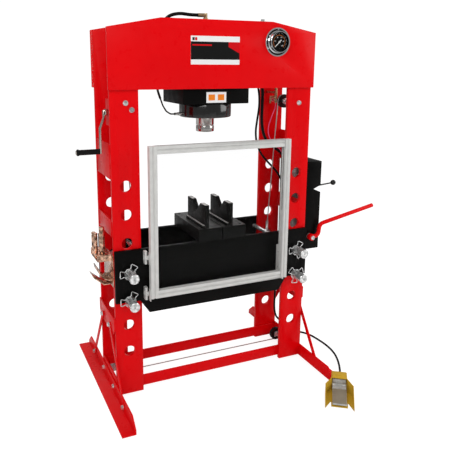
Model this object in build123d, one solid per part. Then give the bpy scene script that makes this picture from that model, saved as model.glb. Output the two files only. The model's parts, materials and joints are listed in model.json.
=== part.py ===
from build123d import *
import math
import os

# Air and hydraulic H-frame shop press. Lengths in millimetres.
# x runs to the right post, y to the back, z up from the floor.
# The ram axis is the line x = 0, y = 0 while the pieces are made;
# place_all() then moves the set so that the origin is under the middle of its box.

# Posts
POST_CLEAR_W = 836.0        # free width between the two posts
UPRIGHT_W = 142.0
UPRIGHT_T = 20.0
POST_DEPTH = 314.0          # over the front and rear uprights
UPRIGHT_BOTTOM_Z = 10.0
HOLE_D = 58.0
HOLE_PITCH = 146.0
HOLE_COUNT = 7
HOLE_TOP_Z = 1127.0
TIE_T = 8.0
TIE_SPANS = ((15.0, 97.0), (866.0, 953.0), (1161.0, 1336.0))
RAIL_H = 60.0
RAIL_T = 10.0
RAIL_Z = 25.0

# Head
HEAD_W = 1136.0
HEAD_T = 15.0
HEAD_BOTTOM_Z = 1594.0
HEAD_END_H = 287.0
HEAD_RISE = 49.0
HEAD_FLAT_W = 610.0
UPRIGHT_TOP_GAP = 6.0       # uprights end this far under the head's end corners
CHEEK_T = 16.0
CHEEK_H = 96.0

# Feet and braces
FOOT_LEN = 985.0
FOOT_LEG_W = 70.0
FOOT_LEG_H = 72.0
FOOT_T = 8.0
FOOT_CHAMFER_Y = 55.0
FOOT_CHAMFER_Z = 47.0
FOOT_BOLT_Z = 40.0
FOOT_BOLT_Y = 105.0
BRACE_FOOT_Y = 310.0
BRACE_TOP_Y = 74.0
BRACE_TOP_Z = 380.0
BRACE_W = 26.0
BRACE_T = 6.0
BRACKET_Z0 = 345.0
BRACKET_H = 95.0
BRACKET_T = 8.0
BRACKET_CHAMFER = 30.0

# Cylinder and ram
SADDLE_W = 366.0
SADDLE_D = 298.0
SADDLE_DROP = 78.0          # how far the saddle hangs under the head
SADDLE_H = 124.0
FLANGE_D = 278.0
FLANGE_DROP = 74.0          # how far the cylinder's flange hangs under the saddle
BARREL_D = 200.0
BORE_D = 140.0
BARREL_DROP = 8.0           # how far the cylinder's cap is under the head's top
BARREL_CAP_T = 38.0
GLAND_L = 66.0
ROD_D = 98.0
PISTON_H = 60.0
PISTON_TOP_GAP = 5.0
RAM_STROKE = 300.0
NOSE_Z = 1362.0
NOSE_H = 31.0
NECK_D = 88.0
NECK_H = 5.0
RUN_FIT = 0.05              # radial clearance of sliding and turning fits

# Bed
BED_TOP_Z = 804.0
BED_END_H = 274.0           # height of the bed plate over the posts
BED_MID_H = 347.0
BED_CHAMFER_X = 49.0
BED_PLATE_T = 20.0
BED_END_OVERHANG = 15.0     # bed plate past the inner face of the post, at its lower edge
BED_POST_GAP = 1.0
FREE_HOLE_COUNT = 3         # free post holes over the upper pin
BED_SPACER_T = 20.0
BED_SPACER_H = 180.0
BED_SPACER_Z = 520.0
BED_SPACER_XS = (-330.0, 0.0, 330.0)

# Bed pins and their wire clips
PIN_D = 50.0
PIN_SEAT = 0.3              # air under a pin at the bottom of its hole
PIN_FRONT = 96.0            # how far a pin stands out of the bed's front plate
PIN_REAR = 12.0
PIN_CHAMFER = 2.0
PIN_CENTRE_D = 6.0
PIN_CENTRE_DEPTH = 8.0
CLIP_WIRE_D = 4.5
CLIP_STANDOFF = 14.0
CLIP_LOBE_R = 54.0
CLIP_FIT = 0.2
CLIP_TURNS = (58.0, 60.0, 60.0, 20.0)

# Press tooling on the bed
ARBOR_W = 135.0
ARBOR_H = 68.0
ARBOR_FRONT_Y = -185.0
ARBOR_LEN = 366.0
ARBOR_LEFT_X = -112.0
ARBOR_GAP = 4.0
ARBOR_HOLE_D = 14.0
ARBOR_HOLE_IN = 24.0
VEE_T = 24.0
VEE_LEN = 240.0
VEE_H = 126.0
VEE_XS = (-78.0, 60.0)
VEE_NOTCH_W = 110.0
VEE_NOTCH_H = 55.0
VEE_FOOT_H = 18.0
VEE_FOOT_W = 10.0

# Guard in front of the bed
GUARD_W = 790.0
GUARD_H = 775.0
GUARD_Z = 555.0
GUARD_PROFILE_W = 40.0
GUARD_PROFILE_D = 30.0
GUARD_STANDOFF = 34.0
GUARD_SLOT_W = 8.0
GUARD_SLOT_D = 5.0
PANE_T = 4.0
PANE_FIT = 0.5
HINGE_ZS = (541.0, 732.0)
HINGE_H = 66.0
HINGE_D = 14.0
HINGE_PIN_D = 7.0
HINGE_GAP = 0.6
HINGE_LEAF_T = 4.0
HINGE_OUT = 13.0            # hinge axis past the guard's left edge
HINGE_Y = -202.0
LATCH_IN = 33.0             # latch angle inside the guard's right edge
LATCH_W = 30.0
LATCH_T = 6.0
LATCH_Z = 534.0
LATCH_H = 198.0
LATCH_BOLT_ZS = (66.0, 155.0)
LATCH_BOLT_IN = 12.0

# Gauge
GAUGE_X = 333.0
GAUGE_DROP = 101.0          # centre of the gauge under the head's top
GAUGE_FLANGE_D = 146.0
GAUGE_FLANGE_T = 4.0
GAUGE_CASE_D = 108.0
GAUGE_CASE_OUT = 26.0
GAUGE_CASE_BACK = 30.0
GAUGE_WALL = 5.0
GAUGE_HOLE_FIT = 1.0
DIAL_DEPTH = 10.0
DIAL_T = 2.0
NEEDLE_LEN = 36.0
NEEDLE_TAIL = 12.0
NEEDLE_W = 3.0
NEEDLE_T = 1.2
NEEDLE_GAP = 1.5
NEEDLE_HUB_D = 10.0
NEEDLE_ZERO = 225.0
NEEDLE_PIN_D = 4.0
LENS_T = 2.5
GAUGE_SCREW_PCD = 128.0

# Label plates, left plain
LABEL_W = 266.0
LABEL_H = 137.0
LABEL_X = -20.0
LABEL_DROP = 148.0
NOTICE_W = 111.0
NOTICE_H = 54.0
NOTICE_X = -3.0
NOTICE_RISE = 34.0
LABEL_T = 0.8

# Winch on the left post
WINCH_X0 = -548.0
WINCH_LEN = 112.0
WINCH_Y = -80.0
WINCH_Z = 1485.0
WINCH_PLATE_T = 5.0
WINCH_CHEEK_H = 130.0
WINCH_CHEEK_D = 104.0
DRUM_D = 50.0
DRUM_FLANGE_D = 86.0
DRUM_FLANGE_T = 5.0
DRUM_SIDE_GAP = 3.0
SHAFT_D = 20.0
CRANK_HUB_X = -566.0
CRANK_HUB_L = 14.0
CRANK_HUB_D = 32.0
CRANK_R = 190.0
CRANK_W = 20.0
CRANK_T = 8.0
CRANK_OFFSET = 20.0
CRANK_BEND_Z0 = 30.0
CRANK_BEND_Z1 = 78.0
GRIP_L = 112.0
GRIP_D = 27.0
GRIP_END_D = 32.0
GRIP_BORE_D = 12.0
GRIP_GAP = 1.0

# Bed hoist rope and its sheaves
ROPE_D = 6.0
ROPE_GAP = 0.5              # air between a rope and the drum or groove under it
SHEAVE_D = 75.0
SHEAVE_GROOVE_DEPTH = 5.0
SHEAVE_T = 20.0
SHEAVE_BORE_D = 20.0
SHEAVE_SIDE_GAP = 0.5
COLLAR_L = 12.0
COLLAR_D = 34.0
LOW_CHEEK_T = 5.0
LOW_CHEEK_H = 30.0
TOP_SHEAVE_X = 487.0
TOP_SHEAVE_Z = 1513.0
LOW_SHEAVE_Z = 88.0
LOW_SHEAVE_X = 485.0
ROPE_ANCHOR_X = 402.0
ROPE_ANCHOR_Z = 770.0
SOCKET_L = 46.0
SOCKET_D = 16.0
SOCKET_DEPTH = 28.0
SOCKET_BORE_D = 12.0
ROPE_END_GAP = 12.0
ANCHOR_BAR_D = 24.0

# Pump cabinet on the right post
CAB_W = 130.0
CAB_FRONT_Y = -110.0
CAB_D = 240.0
CAB_Z0 = 650.0
CAB_H = 522.0
CAB_WALL = 3.0
CAB_RIM = 26.0              # rim round the opening on the post side
CAB_RIM_LOW = 48.0
PUMP_X0 = 590.0
PUMP_X1 = 672.0
PUMP_Y0 = 10.0
PUMP_Y1 = 110.0
PUMP_Z0 = 925.0
PUMP_Z1 = 1082.0
PUMP_HEAD_D = 84.0
PUMP_HEAD_TOP_Z = 1156.0
PUMP_FIN_D = 96.0
PUMP_FIN_T = 4.0
PUMP_FIN_COUNT = 5
TANK_D = 108.0
TANK_TOP_Z = 868.0
TANK_NECK_D = 40.0
NOTCH_Z = 1010.0
NOTCH_H = 42.0
NOTCH_DEPTH = 48.0
VALVE_Y = -60.0
VALVE_W = 60.0
VALVE_BACK = 50.0
LEVER_D = 9.0
LEVER_LEN = 186.0
LEVER_RISE = 5.0
LEVER_HUB_D = 20.0
LEVER_PIN_D = 8.0
BALL_D = 32.0
BALL_BORE = 12.0

# Hand pump lever
HANDLE_PIVOT_X = 626.0
HANDLE_PIVOT_Z = 728.0
HANDLE_D = 24.0
HANDLE_WALL = 2.5
HANDLE_POINTS = ((HANDLE_PIVOT_X, HANDLE_PIVOT_Z), (674.0, 734.0), (683.0, 802.0), (1060.0, 879.0))
HANDLE_RADII = (26.0, 32.0)
HANDLE_OPEN_L = 60.0
HANDLE_EYE_D = 38.0
HANDLE_EYE_T = 26.0
HANDLE_PIN_D = 14.0
HANDLE_OFF = 7.0

# Foot valve on the floor
PEDAL_X = 513.0
PEDAL_AHEAD = 119.5         # centre of the foot valve past the foot's end
PEDAL_TURN = -35.2
PEDAL_L = 240.0
PEDAL_W = 146.0
NECK_W = 82.0
NECK_Y = 52.0               # front of the closed neck
SHOULDER_Y = 14.0           # where the wings reach their full width
WING_NOTCH_Y = -58.0
PEDAL_FRONT_Y = -98.0       # front of the tray under the treadle
PEDAL_FRONT_W = 84.0
PEDAL_BASE_T = 4.0
PEDAL_WALL = 3.0
PEDAL_H = 78.0
SHOULDER_H = 62.0
WING_TIP_H = 14.0
NECK_R = 6.0
NECK_PAD = (34.0, 18.0, 2.0)
PEDAL_BLOCK_L = 52.0
PEDAL_BLOCK_W = 70.0
PEDAL_BLOCK_H = 60.0
PEDAL_PORT_Z = 44.0
TREADLE_W = 72.0
TREADLE_L = 152.0
TREADLE_T = 6.0
TREADLE_PIVOT_Y = 50.0
TREADLE_PIVOT_Z = 40.0
TREADLE_TILT = 9.0
TREADLE_PIN_D = 8.0
TREADLE_EAR_GAP = 0.5
PAD_L = 106.0
PAD_T = 4.0

# Tool rack on the left post
RACK_T = 5.0
RACK_Y0 = -122.0
RACK_BACK_Y0 = -152.0       # the back plate laps over the front upright's edge
RACK_D = 150.0
RACK_Z0 = 612.0
RACK_H = 166.0
SHELF_OUT = 74.0
SHELF_H = 34.0
SHELF_T = 4.0
SHELF_Z = 744.0
DISH_R = 66.0
DISH_T = 4.0
DISH_Z = 706.0
DISH_SLOT = (12.0, 46.0)
DISH_SLOT_YS = (24.0, 54.0, 84.0)
TOOLS = (
    (-600.0, -84.0, 28.0, 168.0, 0.0, 0.0),
    (-624.0, -46.0, 22.0, 128.0, 22.0, 0.72),
    (-624.0, -4.0, 22.0, 122.0, 22.0, 0.80),
    (-590.0, -30.0, 22.0, 104.0, 18.0, 0.66),
)
TOOL_CROSS_D = 12.0
TOOL_GROOVE = (3.0, 5.0)
TOOL_FIT = 0.3
TRAY_LEN = 96.0
TRAY_W = 72.0
TRAY_T = 5.0
TRAY_H = 44.0
TRAY_Z = 618.0

# Hoses, tubes and fittings
HOSE_BIG_D = 17.0
HOSE_SMALL_D = 12.0
TUBE_D = 8.0
AIR_LINE_D = 5.0
AIR_HOSE_D = 12.0
HOSE_Y = 60.0
PORT_Z = 1459.0
PORT_D = 18.0
PORT_DEPTH = 12.0
FITTING_D = 20.0
BIG_END = (536.0, 1130.0)
SMALL_END = (530.0, 968.0)
GLAND_AT = (534.0, 84.0, 676.0)
GLAND_DROP = 24.0
TEE_X = 455.0
TEE_Y = 34.0
TEE_Z = 1500.0

# Bolts
HEAD_BOLT_X = 247.0
HEAD_BOLT_Y = -164.0
GUARD_BOLT_AF = 10.0
GUARD_BOLT_H = 6.0
GAUGE_SCREW_D = 8.0
GAUGE_SCREW_H = 3.0
WINCH_BOLT_PLACES = ((10.0, 47.0), (40.0, 14.0))
BOLT_AF = 19.0
BOLT_HEAD_H = 8.0
WASHER_D = 26.0
WASHER_T = 2.0

# Derived places
POST_IN_X = POST_CLEAR_W / 2
POST_OUT_X = POST_IN_X + UPRIGHT_W
POST_MID_X = POST_IN_X + UPRIGHT_W / 2
POST_FACE_Y = POST_DEPTH / 2
POST_INNER_Y = POST_FACE_Y - UPRIGHT_T
HEAD_FACE_Y = POST_FACE_Y + HEAD_T
HEAD_TOP_Z = HEAD_BOTTOM_Z + HEAD_END_H + HEAD_RISE
UPRIGHT_TOP_Z = HEAD_BOTTOM_Z + HEAD_END_H - UPRIGHT_TOP_GAP
SADDLE_Z0 = HEAD_BOTTOM_Z - SADDLE_DROP
SADDLE_Z1 = SADDLE_Z0 + SADDLE_H
FLANGE_Z0 = SADDLE_Z0 - FLANGE_DROP
GLAND_TOP_Z = FLANGE_Z0 + GLAND_L
BARREL_TOP_Z = HEAD_TOP_Z - BARREL_DROP
BORE_TOP_Z = BARREL_TOP_Z - BARREL_CAP_T
GAUGE_Z = HEAD_TOP_Z - GAUGE_DROP
LABEL_Z = HEAD_TOP_Z - LABEL_DROP
NOTICE_Z = SADDLE_Z0 + NOTICE_RISE
PEDAL_Y = -(FOOT_LEN / 2 + PEDAL_AHEAD)
PISTON_TOP_Z = BORE_TOP_Z - PISTON_TOP_GAP
BED_FRONT_Y = -(POST_FACE_Y + BED_POST_GAP + BED_PLATE_T)
BED_INNER_Y = POST_FACE_Y + BED_POST_GAP
BED_END_Z = BED_TOP_Z - BED_END_H
BED_BOTTOM_Z = BED_TOP_Z - BED_MID_H
HOLE_ZS = [HOLE_TOP_Z - HOLE_PITCH * k for k in range(HOLE_COUNT)]
PIN_ZS = [z - HOLE_D / 2 + PIN_D / 2 + PIN_SEAT for z in HOLE_ZS[FREE_HOLE_COUNT:FREE_HOLE_COUNT + 2]]
PIN_Y0 = BED_FRONT_Y - PIN_FRONT
PIN_Y1 = -BED_FRONT_Y + PIN_REAR
ARBOR_TOP_Z = BED_TOP_Z + ARBOR_H
VEE_TOP_Z = ARBOR_TOP_Z + VEE_H
GUARD_BACK_Y = BED_FRONT_Y - GUARD_STANDOFF
GUARD_FRONT_Y = GUARD_BACK_Y - GUARD_PROFILE_D
HINGE_X = -GUARD_W / 2 - HINGE_OUT
LATCH_X0 = GUARD_W / 2 - LATCH_IN
CAB_X0 = POST_OUT_X
CAB_X1 = CAB_X0 + CAB_W
CAB_TOP_Z = CAB_Z0 + CAB_H
LEVER_X = CAB_X1 - NOTCH_DEPTH
HANDLE_Y = CAB_FRONT_Y - HANDLE_OFF - HANDLE_D / 2
SHEAVE_ROPE_R = SHEAVE_D / 2 - SHEAVE_GROOVE_DEPTH + ROPE_D / 2 + ROPE_GAP
GRIP_X0 = CRANK_HUB_X - CRANK_OFFSET - CRANK_T
CRANK_PIN_Z = WINCH_Z - CRANK_R


def block(x0, x1, y0, y1, z0, z1):
    size = Box(x1 - x0, y1 - y0, z1 - z0)
    return Pos((x0 + x1) / 2, (y0 + y1) / 2, (z0 + z1) / 2) * size


def rod_x(x0, x1, y, z, d):
    return Pos((x0 + x1) / 2, y, z) * Rot(0, 90, 0) * Cylinder(d / 2, x1 - x0)


def rod_y(x, y0, y1, z, d):
    return Pos(x, (y0 + y1) / 2, z) * Rot(90, 0, 0) * Cylinder(d / 2, y1 - y0)


def rod_z(x, y, z0, z1, d):
    return Pos(x, y, (z0 + z1) / 2) * Cylinder(d / 2, z1 - z0)


def plate_xz(points, y0, y1):
    face = make_face(Plane.XZ * Polyline(*points, close=True))
    return Pos(0, y1, 0) * extrude(face, y1 - y0, dir=(0, -1, 0))


def plate_yz(points, x0, x1):
    face = make_face(Plane.YZ * Polyline(*points, close=True))
    return Pos(x0, 0, 0) * extrude(face, x1 - x0, dir=(1, 0, 0))


def mirrored(shape):
    return mirror(shape, Plane.YZ)


def hex_head(af, h):
    return extrude(RegularPolygon(af / 2, 6, major_radius=False), h)


def bolt(at, direction):
    """Hex head on a washer, standing on a face at a point, along a direction."""
    washer = extrude(Circle(WASHER_D / 2), WASHER_T)
    head = Pos(0, 0, WASHER_T) * hex_head(BOLT_AF, BOLT_HEAD_H)
    plane = Plane(origin=at, z_dir=direction)
    return plane.location * (washer + head)


def group(items):
    return Compound([solid for item in items for solid in item.solids()])


def turn_radii(points, share=0.45):
    """Radius of each bend: a share of the shorter run over the tangent of half the turn."""
    radii = []
    for a, b, c in zip(points, points[1:], points[2:]):
        u = Vector(*b) - Vector(*a)
        v = Vector(*c) - Vector(*b)
        half = math.radians(u.get_angle(v)) / 2
        radii.append(share * min(u.length, v.length) / math.tan(half))
    return radii


def tube_path(points, radii=None):
    radii = radii or turn_radii(points)
    return FilletPolyline(*points, radius=radii)


def tube(points, d, radii=None, name=""):
    path = tube_path(points, radii)
    if name:
        shown = [round(r) for r in (radii or turn_radii(points))]
        print(name, "length", round(path.length), "radii", shown)
    start = Plane(origin=path @ 0, z_dir=path % 0)
    return sweep(start * Circle(d / 2), path=path)


# Posts and frame


def upright(side, front):
    x0, x1 = (POST_IN_X, POST_OUT_X) if side > 0 else (-POST_OUT_X, -POST_IN_X)
    y0, y1 = (-POST_FACE_Y, -POST_INNER_Y) if front else (POST_INNER_Y, POST_FACE_Y)
    body = block(x0, x1, y0, y1, UPRIGHT_BOTTOM_Z, UPRIGHT_TOP_Z)
    for z in HOLE_ZS:
        body -= rod_y(side * POST_MID_X, y0 - 1, y1 + 1, z, HOLE_D)
    return body


def post_ties(side):
    ties = []
    for z0, z1 in TIE_SPANS:
        tie = block(POST_OUT_X - TIE_T, POST_OUT_X, -POST_INNER_Y, POST_INNER_Y, z0, z1)
        ties.append(tie if side > 0 else mirrored(tie))
    return ties


def rail(front):
    x = POST_OUT_X - TIE_T
    y0 = -POST_INNER_Y if front else POST_INNER_Y - RAIL_T
    return block(-x, x, y0, y0 + RAIL_T, RAIL_Z, RAIL_Z + RAIL_H)


def head_plate(front):
    w, f, z = HEAD_W / 2, HEAD_FLAT_W / 2, HEAD_BOTTOM_Z
    top = z + HEAD_END_H
    points = [(-w, z), (w, z), (w, top), (f, HEAD_TOP_Z), (-f, HEAD_TOP_Z), (-w, top)]
    y0, y1 = (-HEAD_FACE_Y, -POST_FACE_Y) if front else (POST_FACE_Y, HEAD_FACE_Y)
    plate = plate_xz(points, y0, y1)
    if front:
        hole = GAUGE_CASE_D + 2 * GAUGE_HOLE_FIT
        plate -= rod_y(GAUGE_X, y0 - 1, y1 + 1, GAUGE_Z, hole)
    return plate


def head_cheeks():
    x = SADDLE_W / 2
    y = POST_FACE_Y
    z0, z1 = HEAD_BOTTOM_Z, HEAD_BOTTOM_Z + CHEEK_H
    right = block(x, x + CHEEK_T, -y, y, z0, z1)
    return group([mirrored(right), right])


def foot(side):
    h, y = FOOT_LEG_H, FOOT_LEN / 2
    low, back = h - FOOT_CHAMFER_Z, y - FOOT_CHAMFER_Y
    points = [(-y, 0), (y, 0), (y, low), (back, h), (-back, h), (-y, low)]
    x = POST_OUT_X
    leg = plate_yz(points, x, x + FOOT_T)
    flat = block(x + FOOT_T, x + FOOT_LEG_W, -y, y, 0, FOOT_T)
    angle = leg + flat
    return angle if side > 0 else mirrored(angle)


def brace_bracket(side):
    y, z0, z1, c = POST_FACE_Y, BRACKET_Z0, BRACKET_Z0 + BRACKET_H, BRACKET_CHAMFER
    points = [(-y + c, z0), (y - c, z0), (y, z0 + c), (y, z1), (-y, z1), (-y, z0 + c)]
    plate = plate_yz(points, POST_OUT_X, POST_OUT_X + BRACKET_T)
    return plate if side > 0 else mirrored(plate)


def brace(side, front):
    dy, dz = BRACE_FOOT_Y - BRACE_TOP_Y, BRACE_TOP_Z - FOOT_BOLT_Z
    length = math.hypot(dy, dz)
    angle = math.degrees(math.atan2(dz, -dy))
    bar = extrude(SlotCenterToCenter(length, BRACE_W), BRACE_T)
    mid = (POST_OUT_X + FOOT_T, (BRACE_FOOT_Y + BRACE_TOP_Y) / 2, (BRACE_TOP_Z + FOOT_BOLT_Z) / 2)
    plane = Plane(origin=mid, x_dir=(0, math.cos(math.radians(angle)), math.sin(math.radians(angle))),
                  z_dir=(1, 0, 0))
    bar = plane.location * bar
    if front:
        bar = mirror(bar, Plane.XZ)
    return bar if side > 0 else mirrored(bar)


def all_braces():
    return [brace(side, front) for side in (-1, 1) for front in (True, False)]


def frame_bolts():
    items = []
    for side in (-1, 1):
        leg_x = side * (POST_OUT_X + FOOT_T)
        brace_x = side * (POST_OUT_X + FOOT_T + BRACE_T)
        out = (side, 0, 0)
        for y in (-FOOT_BOLT_Y, FOOT_BOLT_Y):
            items.append(bolt((leg_x, y, FOOT_BOLT_Z), out))
        for y in (-1, 1):
            items.append(bolt((brace_x, y * BRACE_FOOT_Y, FOOT_BOLT_Z), out))
            items.append(bolt((brace_x, y * BRACE_TOP_Y, BRACE_TOP_Z), out))
    front = (0, -1, 0)
    items.append(bolt((TOP_SHEAVE_X, -POST_FACE_Y, TOP_SHEAVE_Z), front))
    winch_x = WINCH_X0 + WINCH_LEN / 2
    for dx, dz in WINCH_BOLT_PLACES:
        items.append(bolt((winch_x + dx, -POST_FACE_Y, WINCH_Z + dz), front))
    items.append(bolt((HEAD_BOLT_X, HEAD_BOLT_Y, HEAD_TOP_Z), (0, 0, 1)))
    return group(items + gauge_screws())


# Cylinder and ram


def saddle():
    w, d = SADDLE_W / 2, SADDLE_D / 2
    body = block(-w, w, -d, d, SADDLE_Z0, SADDLE_Z1)
    return body - rod_z(0, 0, SADDLE_Z0 - 1, SADDLE_Z1 + 1, BARREL_D)


def cylinder_body():
    body = rod_z(0, 0, SADDLE_Z0, BARREL_TOP_Z, BARREL_D)
    flange = rod_z(0, 0, FLANGE_Z0, SADDLE_Z0, FLANGE_D)
    flange = fillet(flange.edges().group_by(Axis.Z)[0], 8)
    body += flange
    body -= rod_z(0, 0, GLAND_TOP_Z, BORE_TOP_Z, BORE_D)
    body -= rod_z(0, 0, FLANGE_Z0 - 1, GLAND_TOP_Z + 1, ROD_D + 2 * RUN_FIT)
    return body - rod_x(-FLANGE_D / 2 - 1, -FLANGE_D / 2 + PORT_DEPTH, 0, PORT_Z, PORT_D)


def ram_rod():
    z_nose = NOSE_Z + NOSE_H
    piston_z0 = PISTON_TOP_Z - PISTON_H
    rod = rod_z(0, 0, z_nose + NECK_H, piston_z0, ROD_D)
    rod += rod_z(0, 0, z_nose, z_nose + NECK_H, NECK_D)
    return rod + rod_z(0, 0, piston_z0, PISTON_TOP_Z, BORE_D - 2 * RUN_FIT)


def ram_nose():
    nose = rod_z(0, 0, NOSE_Z, NOSE_Z + NOSE_H, ROD_D)
    return chamfer(nose.edges().group_by(Axis.Z)[0], 3)


# Bed


def bed_plate(front):
    x, xi = POST_OUT_X, POST_IN_X + BED_END_OVERHANG
    xb = xi - BED_CHAMFER_X
    points = [(-x, BED_TOP_Z), (x, BED_TOP_Z), (x, BED_END_Z), (xi, BED_END_Z),
              (xb, BED_BOTTOM_Z), (-xb, BED_BOTTOM_Z), (-xi, BED_END_Z), (-x, BED_END_Z)]
    y0, y1 = (BED_FRONT_Y, -BED_INNER_Y) if front else (BED_INNER_Y, -BED_FRONT_Y)
    plate = plate_xz(points, y0, y1)
    for side in (-1, 1):
        for z in PIN_ZS:
            bore = PIN_D + 2 * RUN_FIT
            plate -= rod_y(side * POST_MID_X, y0 - 1, y1 + 1, z, bore)
            if z - PIN_D < BED_END_Z:
                cx = side * POST_MID_X
                plate -= block(cx - bore / 2, cx + bore / 2, y0 - 1, y1 + 1, BED_END_Z - 1, z)
    return plate


def bed_spacers():
    t, y = BED_SPACER_T / 2, BED_INNER_Y
    z0, z1 = BED_SPACER_Z, BED_SPACER_Z + BED_SPACER_H
    return group(block(x - t, x + t, -y, y, z0, z1) for x in BED_SPACER_XS)


def hoist_bars():
    """Round bars across the bed that the rope sockets hang from."""
    y = BED_INNER_Y
    z = ROPE_ANCHOR_Z - SOCKET_L / 2
    return [rod_y(s * ROPE_ANCHOR_X, -y, y, z, ANCHOR_BAR_D) for s in (-1, 1)]


def rope_socket(side):
    """Threaded socket that stands on the hoist bar and takes the end of the rope."""
    z0 = ROPE_ANCHOR_Z - SOCKET_L / 2 + ANCHOR_BAR_D / 2 - 1
    eye = rod_y(0, -9, 9, ROPE_ANCHOR_Z - SOCKET_L / 2, ANCHOR_BAR_D + 14)
    eye -= rod_y(0, -10, 10, ROPE_ANCHOR_Z - SOCKET_L / 2, ANCHOR_BAR_D)
    stem = rod_z(0, 0, z0 + 2, ROPE_ANCHOR_Z + SOCKET_L, SOCKET_D)
    body = eye + stem
    top = ROPE_ANCHOR_Z + SOCKET_L
    body -= rod_z(0, 0, top - SOCKET_DEPTH, top + 1, SOCKET_BORE_D)
    return Pos(side * ROPE_ANCHOR_X, 0, 0) * body


def bed_pin(side, z):
    pin = rod_y(side * POST_MID_X, PIN_Y0, PIN_Y1, z, PIN_D)
    pin = chamfer(pin.edges().filter_by(GeomType.CIRCLE), PIN_CHAMFER)
    return pin - rod_y(side * POST_MID_X, PIN_Y0 - 1, PIN_Y0 + PIN_CENTRE_DEPTH, z, PIN_CENTRE_D)


def pin_clip(side, z, turn):
    """Closed wire with three lobes that grips the pin in front of the bed plate."""
    inner = PIN_D / 2 + CLIP_WIRE_D / 2 + CLIP_FIT
    near = inner / math.cos(math.radians(18)) + 0.5
    points = []
    for lobe in (0, 120, 240):
        for radius, angle in ((near, -24), (CLIP_LOBE_R, -22), (CLIP_LOBE_R, 22), (near, 24), (near, 60)):
            a = math.radians(turn + lobe + angle)
            points.append((radius * math.cos(a), 0, radius * math.sin(a)))
    path = FilletPolyline(*points, radius=5, close=True)
    start = Plane(origin=path @ 0, z_dir=path % 0)
    wire = sweep(start * Circle(CLIP_WIRE_D / 2), path=path)
    return Pos(side * POST_MID_X, BED_FRONT_Y - CLIP_STANDOFF, z) * wire


# Tooling on the bed


def arbor_plate(index):
    x0 = ARBOR_LEFT_X + index * (ARBOR_W + ARBOR_GAP)
    x1, y0 = x0 + ARBOR_W, ARBOR_FRONT_Y
    plate = block(x0, x1, y0, y0 + ARBOR_LEN, BED_TOP_Z, ARBOR_TOP_Z)
    plate = chamfer(plate.edges().filter_by(Axis.Z), 3)
    hx = x0 + ARBOR_HOLE_IN if index == 0 else x1 - ARBOR_HOLE_IN
    for hy in (y0 + ARBOR_HOLE_IN, y0 + ARBOR_LEN - ARBOR_HOLE_IN):
        plate -= rod_z(hx, hy, BED_TOP_Z - 1, ARBOR_TOP_Z + 1, ARBOR_HOLE_D)
    return plate


def vee_block(index):
    y0, y1 = ARBOR_FRONT_Y, ARBOR_FRONT_Y + VEE_LEN
    ym, z0, z1 = (y0 + y1) / 2, ARBOR_TOP_Z, VEE_TOP_Z
    n = VEE_NOTCH_W / 2
    points = [(y0, z0), (y1, z0), (y1, z1), (ym + n, z1), (ym, z1 - VEE_NOTCH_H), (ym - n, z1), (y0, z1)]
    x0 = VEE_XS[index]
    vee = plate_yz(points, x0, x0 + VEE_T)
    return vee + block(x0 - VEE_FOOT_W, x0, y0, y1, z0, z0 + VEE_FOOT_H)


# Guard


def guard_profile(length):
    """Slotted extrusion along z from the origin, with its slots cut on all four faces."""
    w, d, s, t = GUARD_PROFILE_W, GUARD_PROFILE_D, GUARD_SLOT_W, GUARD_SLOT_D
    sketch = Rectangle(w, d)
    sketch -= Pos(0, d / 2 - t / 2) * Rectangle(s, t)
    sketch -= Pos(0, -d / 2 + t / 2) * Rectangle(s, t)
    sketch -= Pos(w / 2 - t / 2, 0) * Rectangle(t, s)
    sketch -= Pos(-w / 2 + t / 2, 0) * Rectangle(t, s)
    return extrude(sketch, length)


def guard_side(side):
    x = side * (GUARD_W / 2 - GUARD_PROFILE_W / 2)
    y = GUARD_BACK_Y - GUARD_PROFILE_D / 2
    return Pos(x, y, GUARD_Z) * guard_profile(GUARD_H)


def guard_cross(top):
    length = GUARD_W - 2 * GUARD_PROFILE_W
    w = GUARD_PROFILE_W / 2
    z = GUARD_Z + GUARD_H - w if top else GUARD_Z + w
    y = GUARD_BACK_Y - GUARD_PROFILE_D / 2
    return Pos(-length / 2, y, z) * Rot(0, 90, 0) * guard_profile(length)


def guard_profiles():
    return [guard_side(-1), guard_side(1), guard_cross(True), guard_cross(False)]


def guard_pane():
    w, s = GUARD_PROFILE_W, GUARD_SLOT_D - PANE_FIT
    x = GUARD_W / 2 - w + s
    y = GUARD_BACK_Y - GUARD_PROFILE_D / 2
    z0, z1 = GUARD_Z + w - s, GUARD_Z + GUARD_H - w + s
    return block(-x, x, y - PANE_T / 2, y + PANE_T / 2, z0, z1)


def hinge_spans(z):
    """Lower fixed, middle moving and upper fixed knuckle of a hinge that starts at z."""
    k = HINGE_H / 3
    gap = HINGE_GAP / 2
    return (z, z + k - gap), (z + k + gap, z + 2 * k - gap), (z + 2 * k + gap, z + HINGE_H)


def hinge_fixed(z):
    """Two knuckles on a leaf against the bed's front plate, and the pin through them."""
    x, y, r = HINGE_X, HINGE_Y, HINGE_D / 2
    low, mid, high = hinge_spans(z)
    leaf = block(x - r, x + r, BED_FRONT_Y - HINGE_LEAF_T, BED_FRONT_Y, z, z + HINGE_H)
    body = leaf + rod_z(x, y, z, z + HINGE_H, HINGE_PIN_D)
    for a, b in (low, high):
        body += rod_z(x, y, a, b, HINGE_D) + block(x - r, x + r, y, BED_FRONT_Y, a, b)
    return body


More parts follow.
